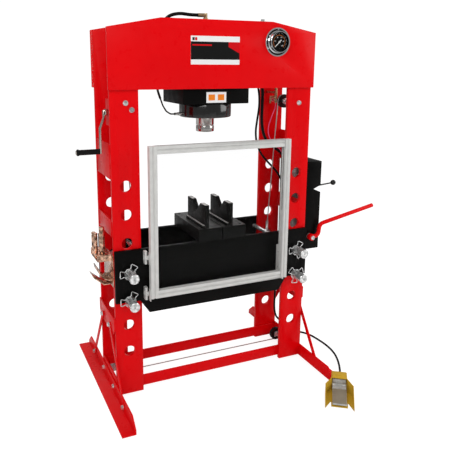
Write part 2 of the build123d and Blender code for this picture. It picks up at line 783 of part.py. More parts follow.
def hinge_moving(z):
    """Middle knuckle with its leaf on the outer face of the guard's left profile."""
    x, y, r = HINGE_X, HINGE_Y, HINGE_D / 2
    a, b = hinge_spans(z)[1]
    face = -GUARD_W / 2
    leaf = block(face - HINGE_LEAF_T, face, GUARD_FRONT_Y + 4, GUARD_BACK_Y - 4, z + 2, z + HINGE_H - 2)
    arm = block(x, face, y - r, y, a, b) + rod_z(x, y, a, b, HINGE_D)
    return leaf + arm - rod_z(x, y, z - 1, z + HINGE_H + 1, HINGE_PIN_D + 2 * RUN_FIT)


def latch_angle():
    """Angle on the bed's front plate that the closed guard lies against."""
    x0, x1, z0, z1, t = LATCH_X0, LATCH_X0 + LATCH_W, LATCH_Z, LATCH_Z + LATCH_H, LATCH_T
    flat = block(x0, x1, BED_FRONT_Y - t, BED_FRONT_Y, z0, z1)
    return flat + block(x1 - t, x1, GUARD_BACK_Y, BED_FRONT_Y, z0, z1)


def guard_bolts():
    """The two bolts of the latch angle."""
    items = []
    for dz in LATCH_BOLT_ZS:
        at = (LATCH_X0 + LATCH_BOLT_IN, BED_FRONT_Y - LATCH_T, LATCH_Z + dz)
        items.append(Plane(origin=at, z_dir=(0, -1, 0)).location * hex_head(GUARD_BOLT_AF, GUARD_BOLT_H))
    return items


# Gauge


def gauge_front_y():
    return -HEAD_FACE_Y - GAUGE_FLANGE_T - GAUGE_CASE_OUT


def gauge_case():
    face = -HEAD_FACE_Y
    y0, y1 = gauge_front_y(), face + GAUGE_CASE_BACK
    body = rod_y(GAUGE_X, y0, y1, GAUGE_Z, GAUGE_CASE_D)
    body += rod_y(GAUGE_X, face - GAUGE_FLANGE_T, face, GAUGE_Z, GAUGE_FLANGE_D)
    inner = GAUGE_CASE_D - 2 * GAUGE_WALL
    depth = DIAL_DEPTH + LENS_T + DIAL_T
    body -= rod_y(GAUGE_X, y0 - 1, y0 + depth, GAUGE_Z, inner)
    return body


def gauge_screws():
    items = []
    for k in range(3):
        a = math.radians(90 + 120 * k)
        x = GAUGE_X + GAUGE_SCREW_PCD / 2 * math.cos(a)
        z = GAUGE_Z + GAUGE_SCREW_PCD / 2 * math.sin(a)
        y = -HEAD_FACE_Y - GAUGE_FLANGE_T
        items.append(rod_y(x, y - GAUGE_SCREW_H, y, z, GAUGE_SCREW_D))
    return items


def gauge_dial():
    y = gauge_front_y() + LENS_T + DIAL_DEPTH
    dial = rod_y(GAUGE_X, y, y + DIAL_T, GAUGE_Z, GAUGE_CASE_D - 2 * GAUGE_WALL)
    pin = rod_y(GAUGE_X, y - NEEDLE_GAP - NEEDLE_T - 1.5, y, GAUGE_Z, NEEDLE_PIN_D)
    return dial + pin


def gauge_lens():
    y = gauge_front_y() + 1.0
    return rod_y(GAUGE_X, y, y + LENS_T, GAUGE_Z, GAUGE_CASE_D - 2 * GAUGE_WALL)


def gauge_needle():
    y = gauge_front_y() + LENS_T + DIAL_DEPTH - NEEDLE_GAP
    hub = rod_y(0, 0, NEEDLE_T, 0, NEEDLE_HUB_D)
    bar = block(-NEEDLE_TAIL, NEEDLE_LEN, 0, NEEDLE_T, -NEEDLE_W / 2, NEEDLE_W / 2)
    tip = rod_y(-NEEDLE_TAIL, 0, NEEDLE_T, 0, 6.0)
    needle = hub + bar + tip
    needle -= rod_y(0, -1, NEEDLE_T + 1, 0, NEEDLE_PIN_D + 2 * RUN_FIT)
    return Pos(GAUGE_X, y - NEEDLE_T, GAUGE_Z) * Rot(0, -NEEDLE_ZERO, 0) * needle


def label_plates():
    y = -HEAD_FACE_Y
    w, h = LABEL_W / 2, LABEL_H / 2
    big = block(LABEL_X - w, LABEL_X + w, y - LABEL_T, y, LABEL_Z - h, LABEL_Z + h)
    y = -SADDLE_D / 2
    w, h = NOTICE_W / 2, NOTICE_H / 2
    small = block(NOTICE_X - w, NOTICE_X + w, y - LABEL_T, y, NOTICE_Z - h, NOTICE_Z + h)
    return group([big, small])


# Winch and crank


def winch_frame():
    x0, x1 = WINCH_X0, WINCH_X0 + WINCH_LEN
    y0, y1 = -POST_INNER_Y, -POST_INNER_Y + WINCH_CHEEK_D
    z0, z1 = WINCH_Z - WINCH_CHEEK_H / 2, WINCH_Z + WINCH_CHEEK_H / 2
    t = WINCH_PLATE_T
    body = block(x0, x1, y0, y0 + t, z0, z1)
    for xa in (x0, x1 - t):
        body += block(xa, xa + t, y0, y1, z0, z1)
    return body - rod_x(x0 - 1, x1 + 1, WINCH_Y, WINCH_Z, SHAFT_D + 2 * RUN_FIT)


def winch_drum():
    x0 = WINCH_X0 + WINCH_PLATE_T + DRUM_SIDE_GAP
    x1 = WINCH_X0 + WINCH_LEN - WINCH_PLATE_T - DRUM_SIDE_GAP
    drum = rod_x(x0, x1, WINCH_Y, WINCH_Z, DRUM_D)
    for xa in (x0, (x0 + x1) / 2 - DRUM_FLANGE_T / 2, x1 - DRUM_FLANGE_T):
        drum += rod_x(xa, xa + DRUM_FLANGE_T, WINCH_Y, WINCH_Z, DRUM_FLANGE_D)
    return drum + rod_x(CRANK_HUB_X, WINCH_X0 + WINCH_LEN + 6, WINCH_Y, WINCH_Z, SHAFT_D)


def crank_arm():
    y, w = WINCH_Y, CRANK_W / 2
    x, t, o = CRANK_HUB_X, CRANK_T, CRANK_OFFSET
    z = WINCH_Z
    points = [(x, z + w), (x, z - CRANK_BEND_Z0), (x - o, z - CRANK_BEND_Z1), (x - o, z - CRANK_R - w),
              (x - o - t, z - CRANK_R - w), (x - o - t, z - CRANK_BEND_Z1 + t / 3),
              (x - t, z - CRANK_BEND_Z0 + t / 3), (x - t, z + w)]
    arm = plate_xz(points, y - w, y + w)
    hub = rod_x(x, x + CRANK_HUB_L, y, z, CRANK_HUB_D)
    hub -= rod_x(x - 1, x + CRANK_HUB_L + 1, y, z, SHAFT_D)
    pin_x0 = GRIP_X0 - GRIP_GAP - GRIP_L - GRIP_GAP
    pin = rod_x(pin_x0, x - o, y, CRANK_PIN_Z, GRIP_BORE_D - 2 * RUN_FIT)
    cap = rod_x(pin_x0 - 3, pin_x0, y, CRANK_PIN_Z, GRIP_BORE_D + 8)
    return arm + hub + pin + cap


def crank_grip():
    x1 = GRIP_X0 - GRIP_GAP
    x0 = x1 - GRIP_L
    y, z = WINCH_Y, CRANK_PIN_Z
    grip = rod_x(x0, x1, y, z, GRIP_D) + rod_x(x0, x0 + 10, y, z, GRIP_END_D)
    grip = chamfer(grip.edges().filter_by(GeomType.CIRCLE).group_by(Axis.X)[0], 2)
    return grip - rod_x(x0 - 1, x1 + 1, y, z, GRIP_BORE_D)


# Hoist rope


def sheave():
    """Grooved wheel about the y axis at the origin."""
    r, t, g = SHEAVE_D / 2, SHEAVE_T / 2, SHEAVE_GROOVE_DEPTH
    half = ROPE_D / 2 + 1.2
    points = [(0, -t), (r, -t), (r - g, -half + 1), (r - g, half - 1), (r, t), (0, t)]
    face = make_face(Plane.XY * Polyline(*points, close=True))
    wheel = revolve(face, Axis.Y)
    return wheel - rod_y(0, -t - 1, t + 1, 0, SHEAVE_BORE_D + 2 * RUN_FIT)


SHEAVE_PLACES = {
    "sheave_top": (TOP_SHEAVE_X, TOP_SHEAVE_Z),
    "sheave_low_right": (LOW_SHEAVE_X, LOW_SHEAVE_Z),
    "sheave_low_left": (-LOW_SHEAVE_X, LOW_SHEAVE_Z),
}


def top_axle():
    x, z = TOP_SHEAVE_X, TOP_SHEAVE_Z
    axle = rod_y(x, -POST_INNER_Y, POST_INNER_Y, z, SHEAVE_BORE_D)
    y0 = SHEAVE_T / 2 + SHEAVE_SIDE_GAP
    for s in (-1, 1):
        axle += rod_y(x, min(s * y0, s * (y0 + COLLAR_L)), max(s * y0, s * (y0 + COLLAR_L)), z, COLLAR_D)
    return axle


def low_bracket(side):
    """Two cheeks on the post tie with the axle of a low sheave between them."""
    y0 = SHEAVE_T / 2 + SHEAVE_SIDE_GAP
    y1, h = y0 + LOW_CHEEK_T, LOW_CHEEK_H / 2
    x0, x1 = LOW_SHEAVE_X - h, POST_OUT_X - TIE_T
    bracket = rod_y(LOW_SHEAVE_X, -y1, y1, LOW_SHEAVE_Z, SHEAVE_BORE_D)
    for ya in (-y1, y0):
        bracket += block(x0, x1, ya, ya + LOW_CHEEK_T, LOW_SHEAVE_Z - h, LOW_SHEAVE_Z + h)
    return bracket if side > 0 else mirrored(bracket)


def sheave_mounts():
    return group([top_axle(), low_bracket(-1), low_bracket(1)])


def circle_tangent(cx, cz, r, px, pz, side):
    """Point where a line from (px, pz) touches a circle, on the chosen side."""
    dx, dz = px - cx, pz - cz
    dist = math.hypot(dx, dz)
    base = math.atan2(dz, dx)
    a = base + side * math.acos(r / dist)
    return cx + r * math.cos(a), cz + r * math.sin(a)


def rope_long():
    """From the drum down, along the floor, up to the top sheave and down to the bed."""
    r = SHEAVE_ROPE_R
    lx, lz, tx, tz = LOW_SHEAVE_X, LOW_SHEAVE_Z, TOP_SHEAVE_X, TOP_SHEAVE_Z
    ax, az = circle_tangent(tx, tz, r, ROPE_ANCHOR_X, ROPE_ANCHOR_Z + SOCKET_L, -1)
    up0 = (lx + r, lz)
    up1 = circle_tangent(tx, tz, r, up0[0], up0[1], 1)
    drum_y = WINCH_Y + DRUM_D / 2 + ROPE_D / 2 + ROPE_GAP
    edges = [
        Line((-lx - r, drum_y, WINCH_Z), (-lx - r, 0, lz)),
        ThreePointArc((-lx - r, 0, lz), (-lx - r * math.cos(math.pi / 4), 0, lz - r * math.sin(math.pi / 4)),
                      (-lx, 0, lz - r)),
        Line((-lx, 0, lz - r), (lx, 0, lz - r)),
        ThreePointArc((lx, 0, lz - r), (lx + r * math.cos(math.pi / 4), 0, lz - r * math.sin(math.pi / 4)),
                      (lx + r, 0, lz)),
        Line((lx + r, 0, lz), (up1[0], 0, up1[1])),
        ThreePointArc((up1[0], 0, up1[1]), (tx, 0, tz + r), (ax, 0, az)),
        Line((ax, 0, az), (ROPE_ANCHOR_X, 0, ROPE_ANCHOR_Z + SOCKET_L - SOCKET_DEPTH + ROPE_END_GAP)),
    ]
    solids = []
    for edge in edges:
        start = Plane(origin=edge @ 0, z_dir=edge % 0)
        solids.append(sweep(start * Circle(ROPE_D / 2), path=edge))
    rope = solids[0]
    for piece in solids[1:]:
        rope += piece
    return rope


def rope_short():
    """From the drum straight down to the left end of the bed."""
    drum_y = WINCH_Y + DRUM_D / 2 + ROPE_D / 2 + ROPE_GAP
    x = WINCH_X0 + WINCH_LEN - 34
    top = Vector(x, drum_y, WINCH_Z)
    end = Vector(-ROPE_ANCHOR_X, 0, ROPE_ANCHOR_Z + SOCKET_L - SOCKET_DEPTH + ROPE_END_GAP)
    edge = Line(top, end)
    start = Plane(origin=edge @ 0, z_dir=edge % 0)
    return sweep(start * Circle(ROPE_D / 2), path=edge)


# Pump cabinet, valve lever and pump handle


def cabinet():
    x0, x1, y0, y1 = CAB_X0, CAB_X1, CAB_FRONT_Y, CAB_FRONT_Y + CAB_D
    z0, z1, w = CAB_Z0, CAB_TOP_Z, CAB_WALL
    body = block(x0, x1, y0, y1, z0, z1) - block(x0 + w, x1 - w, y0 + w, y1 - w, z0 + w, z1 - w)
    h = NOTCH_H / 2
    notch = [(LEVER_X, NOTCH_Z), (x1 + 1, NOTCH_Z - h), (x1 + 1, NOTCH_Z + h)]
    body -= plate_xz(notch, y0 - 1, y1 + 1)
    r, low = CAB_RIM, CAB_RIM_LOW
    return body - block(x0 - 1, x0 + w + 1, y0 + r, y1 - r, z0 + low, z1 - r)


def valve_block():
    """Block behind the lever with the pin that the lever turns on."""
    y0, y1 = VALVE_Y + LEVER_HUB_D / 2, PUMP_Y0
    x0, x1 = LEVER_X - 44, LEVER_X - 2
    body = block(x0, x1, y0 + 12, y1, NOTCH_Z - 30, NOTCH_Z + 30)
    body += block(x0 + 14, x1 - 2, y0, y0 + 13, NOTCH_Z - 16, NOTCH_Z + 16)
    return body + rod_y(LEVER_X - 14, y0 - LEVER_HUB_D, y0 + 1, NOTCH_Z, LEVER_PIN_D)


def air_pump():
    """Pump block with a finned air head on top and an oil tank below, on the cabinet's floor."""
    x, y = (PUMP_X0 + PUMP_X1) / 2, (PUMP_Y0 + PUMP_Y1) / 2
    body = block(PUMP_X0, PUMP_X1, PUMP_Y0, PUMP_Y1, PUMP_Z0, PUMP_Z1)
    body += rod_z(x, y, PUMP_Z1, PUMP_HEAD_TOP_Z, PUMP_HEAD_D)
    pitch = (PUMP_HEAD_TOP_Z - PUMP_Z1) / PUMP_FIN_COUNT
    for k in range(PUMP_FIN_COUNT):
        z = PUMP_Z1 + (k + 0.6) * pitch
        body += rod_z(x, y, z, z + PUMP_FIN_T, PUMP_FIN_D)
    body += rod_z(x, y, TANK_TOP_Z, PUMP_Z0, TANK_NECK_D)
    floor = CAB_Z0 + CAB_WALL
    body += rod_z(x, y, floor, TANK_TOP_Z, TANK_D)
    z = BIG_END[1]
    w = FITTING_D / 2 + 2
    return body + block(PUMP_X0 - 8, x - PUMP_HEAD_D / 3, HOSE_Y - w, HOSE_Y + w, z - w, z + w)


def valve_lever():
    x = LEVER_X - 14
    hub = rod_y(x, VALVE_Y - 9, VALVE_Y + 9, NOTCH_Z, LEVER_HUB_D)
    a = math.radians(LEVER_RISE)
    direction = Vector(math.cos(a), 0, math.sin(a))
    start = Vector(x, VALVE_Y, NOTCH_Z)
    plane = Plane(origin=start + direction * 7, z_dir=direction)
    bar = plane.location * extrude(Circle(LEVER_D / 2), LEVER_LEN - BALL_D / 2 + BALL_BORE - 7)
    hub -= rod_y(x, VALVE_Y - 12, VALVE_Y + 12, NOTCH_Z, LEVER_PIN_D + 2 * RUN_FIT)
    return hub + (bar - rod_y(x, VALVE_Y - 12, VALVE_Y + 12, NOTCH_Z, LEVER_PIN_D + 2 * RUN_FIT))


def lever_ball():
    a = math.radians(LEVER_RISE)
    x = LEVER_X - 14 + LEVER_LEN * math.cos(a)
    z = NOTCH_Z + LEVER_LEN * math.sin(a)
    way = Vector(-math.cos(a), 0, -math.sin(a))
    mouth = Plane(origin=Vector(x, VALVE_Y, z) - way * (BALL_BORE - BALL_D / 2), z_dir=way)
    bore = mouth.location * extrude(Circle(LEVER_D / 2), BALL_D)
    return Pos(x, VALVE_Y, z) * Sphere(BALL_D / 2) - bore


def pump_handle():
    points = [(x, HANDLE_Y, z) for x, z in HANDLE_POINTS]
    path = FilletPolyline(*points, radius=list(HANDLE_RADII))
    start = Plane(origin=path @ 0, z_dir=path % 0)
    bar = sweep(start * Circle(HANDLE_D / 2), path=path)
    end = Plane(origin=path @ 1, z_dir=-(path % 1))
    bar -= end.location * extrude(Circle(HANDLE_D / 2 - HANDLE_WALL), HANDLE_OPEN_L)
    x, z, t = HANDLE_PIVOT_X, HANDLE_PIVOT_Z, HANDLE_EYE_T / 2
    eye = rod_y(x, HANDLE_Y - t, HANDLE_Y + t, z, HANDLE_EYE_D)
    body = (bar - eye) + eye
    return body - rod_y(x, HANDLE_Y - 20, HANDLE_Y + 20, z, HANDLE_PIN_D + 2 * RUN_FIT)


def handle_pin():
    t = HANDLE_EYE_T / 2 + 1
    x, z = HANDLE_PIVOT_X, HANDLE_PIVOT_Z
    pin = rod_y(x, HANDLE_Y - t, CAB_FRONT_Y, z, HANDLE_PIN_D)
    head = Plane(origin=(x, HANDLE_Y - t, z), z_dir=(0, -1, 0)).location * hex_head(22.0, 8.0)
    boss = rod_y(x, HANDLE_Y + t, CAB_FRONT_Y, z, HANDLE_EYE_D)
    return pin + head + boss


# Foot valve, made about its own centre with the toe end towards -y


def pedal_outline(inset):
    """Plan of the hood: shoulders and a narrow neck; without an inset also its pointed wings."""
    l, w, n, f = PEDAL_L / 2, PEDAL_W / 2 - inset, NECK_W / 2 - inset, PEDAL_FRONT_W / 2
    right = [(w, -l - inset), (w, SHOULDER_Y), (n, NECK_Y + inset / 2), (n, l - inset)]
    if not inset:
        right = [(f, PEDAL_FRONT_Y), (f, WING_NOTCH_Y), (f + 4, WING_NOTCH_Y)] + right
    left = [(-x, y) for x, y in reversed(right)]
    return make_face(Polyline(*right, *left, close=True))


def pedal_base():
    l, h, w, t = PEDAL_L / 2, PEDAL_H, NECK_W / 2, PEDAL_WALL
    tray = extrude(pedal_outline(0), h)
    tray -= Pos(0, 0, PEDAL_BASE_T) * extrude(pedal_outline(t), h)
    sky = [(-l - 1, WING_TIP_H), (SHOULDER_Y, SHOULDER_H), (NECK_Y, h), (NECK_Y, h + 1), (-l - 1, h + 1)]
    hood = tray - plate_yz(sky, -PEDAL_W, PEDAL_W) + block(-w, w, NECK_Y, l, h - t, h)
    hood = fillet(hood.edges().filter_by(Axis.Y).group_by(Axis.Z)[-1], NECK_R)
    a, b, c = NECK_PAD
    y = (NECK_Y + l) / 2
    hood += block(-a / 2, a / 2, y - b / 2, y + b / 2, h, h + c)
    return hood - rod_y(0, l - 2 * t, l + 1, PEDAL_PORT_Z, FITTING_D + 1)


def pedal_block():
    """Valve body under the hood, with the ears and the pin of the treadle at its front."""
    w, y1 = PEDAL_BLOCK_W / 2, PEDAL_L / 2 - PEDAL_WALL
    y0 = y1 - PEDAL_BLOCK_L
    body = block(-w, w, y0, y1, PEDAL_BASE_T, PEDAL_BASE_T + PEDAL_BLOCK_H)
    hub = TREADLE_PIN_D / 2 + 4
    lug = block(-w / 2, w / 2, TREADLE_PIVOT_Y - hub, y0 + 1, PEDAL_BASE_T, TREADLE_PIVOT_Z + hub)
    body += lug + rod_x(-w - 2, w + 2, TREADLE_PIVOT_Y, TREADLE_PIVOT_Z, TREADLE_PIN_D)
    return body + rod_y(0, y1 - 1, y1 + 16, PEDAL_PORT_Z, FITTING_D)


def on_treadle(shape):
    """From the treadle's own frame, pivot at the origin, to the pedal's frame."""
    return Pos(0, TREADLE_PIVOT_Y, TREADLE_PIVOT_Z) * Rot(TREADLE_TILT, 0, 0) * shape


def treadle():
    w, t, d = TREADLE_W / 2, TREADLE_T, TREADLE_PIN_D
    lug = PEDAL_BLOCK_W / 4 + TREADLE_EAR_GAP
    body = block(-w, w, -TREADLE_L, -2, -t / 2, t / 2) + rod_x(-w, w, 0, 0, d + 6)
    body -= block(-lug, lug, -d / 2 - 6, d, -d - 6, d + 6)
    return on_treadle(body - rod_x(-w - 1, w + 1, 0, 0, d + 2 * RUN_FIT))


def treadle_pad():
    w, t = TREADLE_W / 2 - 1, TREADLE_T / 2
    pad = block(-w, w, -TREADLE_L + 6, -TREADLE_L + 6 + PAD_L, t, t + PAD_T)
    return on_treadle(fillet(pad.edges().filter_by(Axis.Z), 2))


def on_floor(shape):
    return Pos(PEDAL_X, PEDAL_Y, 0) * Rot(0, 0, PEDAL_TURN) * shape


# Tool rack


def rack_shelf():
    """Open box shelf that holds the tools upright in its top and bottom plates."""
    x1, x0 = -POST_OUT_X - RACK_T, -POST_OUT_X - SHELF_OUT
    y0, y1, z0, z1, t = RACK_Y0, RACK_Y0 + RACK_D, SHELF_Z, SHELF_Z + SHELF_H, SHELF_T
    shelf = block(x0, x1, y0, y1, z0, z1) - block(x0 - 1, x1 - t, y0 + t, y1 - t, z0 + t, z1 - t)
    for tool in TOOLS:
        shelf -= rod_z(tool[0], tool[1], z0 + t, z1 + 1, tool[2] + 2 * TOOL_FIT)
    return shelf


def rack_dish():
    """Quarter-round dish under the shelf, with slots for the flat tools."""
    x1, y0, z = -POST_OUT_X - RACK_T, RACK_Y0, DISH_Z
    shell = rod_y(x1, y0, y0 + RACK_D * 0.75, z, 2 * DISH_R)
    shell -= rod_y(x1, y0 - 1, y0 + RACK_D, z, 2 * (DISH_R - DISH_T))
    shell &= block(x1 - DISH_R - 1, x1, y0, y0 + RACK_D, z - DISH_R - 1, z)
    w, h = DISH_SLOT
    for dy in DISH_SLOT_YS:
        shell -= block(x1 - DISH_R - 1, x1 - DISH_R / 4, y0 + dy - w / 2, y0 + dy + w / 2, z - h - 8, z - 8)
    return shell


def tool_rack():
    x1 = -POST_OUT_X
    back = block(x1 - RACK_T, x1, RACK_BACK_Y0, RACK_Y0 + RACK_D, RACK_Z0, RACK_Z0 + RACK_H)
    return back + rack_shelf() + rack_dish() + rack_tray()


def press_tool(x, y, d, length, cross, share):
    """Round tool with a groove near its top and, on some, a cross handle through it."""
    z0 = SHELF_Z + SHELF_T
    tool = chamfer(rod_z(x, y, z0, z0 + length, d).edges().group_by(Axis.Z)[-1], 2)
    depth, width = TOOL_GROOVE
    zg = z0 + length - 16
    tool -= rod_z(x, y, zg, zg + width, d + 2) - rod_z(x, y, zg, zg + width, d - 2 * depth)
    if cross:
        tool += rod_y(x, y - cross, y + cross, z0 + length * share, TOOL_CROSS_D)
    return tool


def press_tools():
    return group([press_tool(*tool) for tool in TOOLS])


def rack_tray():
    """Folded V tray at the foot of the rack."""
    x1, y0, z, t = -POST_OUT_X - RACK_T, RACK_Y0 + 6, TRAY_Z, TRAY_T
    xm, x0 = x1 - TRAY_W * 0.55, x1 - TRAY_W * 1.25
    fold = [(x1, z), (xm, z), (x0, z + TRAY_H), (x0, z + TRAY_H + t * 1.4), (xm + t / 2, z + t), (x1, z + t)]
    return plate_xz(fold, y0, y0 + TRAY_LEN)


# Hoses and fittings


def top_fitting():
    body = rod_z(0, 0, BARREL_TOP_Z, BARREL_TOP_Z + 26, 26.0)
    elbow = rod_x(-44, 0, 0, BARREL_TOP_Z + 40, FITTING_D)
    return body + rod_z(0, 0, BARREL_TOP_Z + 26, BARREL_TOP_Z + 50, FITTING_D) + elbow


def side_fitting():
    x = -FLANGE_D / 2
    return rod_x(x - 18, x + PORT_DEPTH, 0, PORT_Z, PORT_D) + rod_x(x - 36, x - 18, 0, PORT_Z, 14.0)


def hose_elbow(x, z, end):
    body = rod_x(x, end, HOSE_Y, z, FITTING_D)
    body += Pos(x, HOSE_Y, z) * Sphere(FITTING_D / 2)
    return body + rod_z(x, HOSE_Y, z, z + 26, FITTING_D)


def all_fittings():
    elbows = [hose_elbow(*BIG_END, PUMP_X0 - 8), hose_elbow(*SMALL_END, PUMP_X0)]
    return [top_fitting(), side_fitting(), port_tube(), air_fittings(), hose_gland()] + elbows


def hose_upper():
    y, r = HOSE_Y, 122.0
    z = BARREL_TOP_Z + 40
    points = [(-44, 0, z), (-88, 0, z), (-142, 4, z + 6), (-198, 12, z - 6), (-234, 26, z - 50),
              (-250, 50, z - 112), (-238, 88, z - 165), (-196, r, z - 190), (-130, r + 4, z - 198),
              (-40, r + 5, z - 200), (50, r + 4, z - 198), (140, r, z - 200), (220, 108, z - 206),
              (290, 88, z - 224), (345, 70, z - 268), (376, y, z - 330), (384, y, z - 400),
              (383, y, z - 480), (381, y, z - 560), (392, y, 1330), (424, y, 1268), (478, y, 1234),
              (520, y, 1206), (BIG_END[0], y, 1182), (BIG_END[0], y, BIG_END[1] + 26)]
    return tube(points, HOSE_BIG_D, name="hose_upper")


def hose_lower():
    y, r, low, top = HOSE_Y, 136.0, PORT_Z, SADDLE_Z1
    points = [(-252, 0, low + 81), (-265, 0, low + 117), (-268, 18, top - 12), (-250, 60, top + 42),
              (-222, 100, top + 64), (-170, 128, top + 72), (-90, r, top + 74), (0, r + 1, top + 74),
              (90, r, top + 72), (180, 126, top + 70), (256, 108, top + 60), (318, 86, top + 32),
              (350, 66, top - 22), (361, y - 2, top - 90), (364, y, top - 160),
              (352, y, 1404), (343, y, 1338), (352, y, 1268), (384, y, 1204), (436, y, 1150),
              (488, y, 1100), (522, y, 1052), (SMALL_END[0], y, 1020), (SMALL_END[0], y, SMALL_END[1] + 26)]
    return tube(points, HOSE_SMALL_D, name="hose_lower")


def port_tube():
    x = -FLANGE_D / 2 - 36
    points = [(x, 0, PORT_Z), (x - 22, 0, PORT_Z), (x - 46, 0, PORT_Z + 16), (-239, 0, PORT_Z + 45),
              (-252, 0, PORT_Z + 81)]
    return tube(points, TUBE_D, radii=[24, 30, 60])


def air_line():
    y = TEE_Y
    points = [(TEE_X, y, TEE_Z), (TEE_X, y, 1476), (432, y, 1424), (412, y, 1370), (412, y, 1326),
              (428, y, 1290), (462, y, 1262), (500, y, 1226), (524, y, 1180), (530, y, 1130),
              (526, y, 1090), (536, y, 1060), (PUMP_X0, y, 1060)]
    return tube(points, AIR_LINE_D, name="air_line")


def air_fittings():
    """Brass tee under the head with its side plug, held by a stud in the rear upright."""
    x, y, z = TEE_X, TEE_Y, TEE_Z
    body = rod_z(x, y, z, z + 26, 12.0) + rod_z(x, y, z + 26, z + 90, 16.0)
    body += rod_x(x - 35, x, y, z + 36, 12.0) + rod_z(x - 35, y, z, z + 36, 10.0)
    return body + rod_y(x, y, POST_INNER_Y, z + 60, 14.0)


def pedal_port():
    """World point and direction of the hose spigot on the foot valve."""
    local = Vector(0, PEDAL_L / 2 - PEDAL_WALL + 16, PEDAL_PORT_Z)
    a = math.radians(PEDAL_TURN)
    x = PEDAL_X + local.X * math.cos(a) - local.Y * math.sin(a)
    y = PEDAL_Y + local.X * math.sin(a) + local.Y * math.cos(a)
    return Vector(x, y, local.Z), Vector(-math.sin(a), math.cos(a), 0)


def hose_gland():
    """Elbow on the cabinet's post side that the foot valve hose leaves downwards."""
    x, y, z = GLAND_AT
    body = rod_x(x, CAB_X0, y, z, FITTING_D) + Pos(x, y, z) * Sphere(FITTING_D / 2)
    return body + rod_z(x, y, z - GLAND_DROP, z, FITTING_D)


def foot_hose():
    end, way = pedal_port()
    x, y, z = GLAND_AT
    px, py = PEDAL_X, PEDAL_Y
    mid = (y + py) / 2
    points = [(x, y, z - GLAND_DROP), (x, y, z - 56), (528, y, z - 104), (524, y, 510), (523, y + 1, 440),
              (525, y + 2, 370), (524, y + 4, 300), (524, y + 6, 240), (528, y + 7, 190), (541, y + 9, 150),
              (566, y + 10, 122), (602, y + 11, 96), (638, y + 11, 62), (676, y + 9, 30), (716, y, 12),
              (748, y - 26, 8), (764, y - 70, 8), (773, mid + 218, 7.5), (777, mid + 152, 8),
              (773, mid + 84, 7.5), (px + 244, py + 366, 8), (px + 217, py + 304, 8), (px + 187, py + 250, 10),
              (px + 156, py + 204, 16), (px + 129, py + 166, 26)]
    points += [tuple(end + way * 34), tuple(end)]
    return tube(points, AIR_HOSE_D, name="foot_hose")


def build_all():
    """Every piece under its node name, in the frame of the ram axis."""
    parts = {
        "head_front_plate": head_plate(True),
        "head_rear_plate": head_plate(False),
        "head_cheeks": head_cheeks(),
        "uprights_left": group([upright(-1, True), upright(-1, False)]),
        "uprights_right": group([upright(1, True), upright(1, False)]),
        "post_ties": group(post_ties(-1) + post_ties(1)),
        "floor_rails": group([rail(True), rail(False)]),
        "feet": group([foot(-1), foot(1)]),
        "braces": group([brace_bracket(-1), brace_bracket(1)] + all_braces()),
        "frame_bolts": frame_bolts(),
        "saddle": saddle(),
        "cylinder": cylinder_body(),
        "ram_rod": ram_rod(),
        "ram_nose": ram_nose(),
        "gauge_case": gauge_case(),
        "gauge_dial": gauge_dial(),
        "gauge_needle": gauge_needle(),
        "gauge_lens": gauge_lens(),
        "label_plates": label_plates(),
        "winch_frame": winch_frame(),
        "winch_drum": winch_drum(),
        "crank_arm": crank_arm(),
        "crank_grip": crank_grip(),
        "sheave_mounts": sheave_mounts(),
        "rope_long": rope_long(),
        "rope_short": rope_short(),
        "bed_front_plate": bed_plate(True),
        "bed_rear_plate": bed_plate(False),
        "bed_spacers": bed_spacers(),
        "hoist_fittings": group(hoist_bars() + [rope_socket(-1), rope_socket(1)]),
        "arbor_plates": group([arbor_plate(0), arbor_plate(1)]),
        "vee_blocks": group([vee_block(0), vee_block(1)]),
        "guard_frame": group(guard_profiles() + [hinge_moving(z) for z in HINGE_ZS]),
        "guard_mounts": group([hinge_fixed(z) for z in HINGE_ZS] + [latch_angle()]),
        "guard_pane": guard_pane(),
        "guard_bolts": group(guard_bolts()),
        "cabinet": cabinet(),
        "air_pump": group([valve_block(), air_pump()]),
        "valve_lever": valve_lever(),
        "lever_ball": lever_ball(),
        "pump_handle": pump_handle(),
        "handle_pin": handle_pin(),
        "pedal_base": on_floor(pedal_base()),
        "pedal_block": on_floor(pedal_block()),
        "pedal_treadle": on_floor(treadle()),
        "pedal_pad": on_floor(treadle_pad()),
        "tool_rack": tool_rack(),
        "press_tools": press_tools(),
        "hydraulic_fittings": group(all_fittings()),
        "hose_upper": hose_upper(),
        "hose_lower": hose_lower(),
        "air_line": air_line(),
        "foot_hose": foot_hose(),
    }
    for name, (x, z) in SHEAVE_PLACES.items():
        parts[name] = Pos(x, 0, z) * sheave()
    for k, (side, z) in enumerate((s, z) for s in (-1, 1) for z in PIN_ZS):
        parts[f"bed_pin_{k + 1}"] = group([bed_pin(side, z), pin_clip(side, z, CLIP_TURNS[k])])
    return parts


CORDS = ("rope_long", "rope_short", "hose_upper", "hose_lower", "air_line", "foot_hose")


def place_all(parts):
    """Move the set so that the box without cords is centred on the origin, on the floor."""
    boxes = [s.bounding_box() for n, s in parts.items() if n not in CORDS]
    x = (min(b.min.X for b in boxes) + max(b.max.X for b in boxes)) / 2
    y = (min(b.min.Y for b in boxes) + max(b.max.Y for b in boxes)) / 2
    z = min(b.min.Z for b in boxes)
    shift = Vector(-x, -y, -z)
    return {n: Pos(shift) * s for n, s in parts.items()}, shift


PARTS, SHIFT = place_all(build_all())
os.makedirs("parts", exist_ok=True)
for node, shape in PARTS.items():
    export_step(shape, f"parts/{node}.step")
print("nodes", len(PARTS), "shift", tuple(round(v, 3) for v in SHIFT))
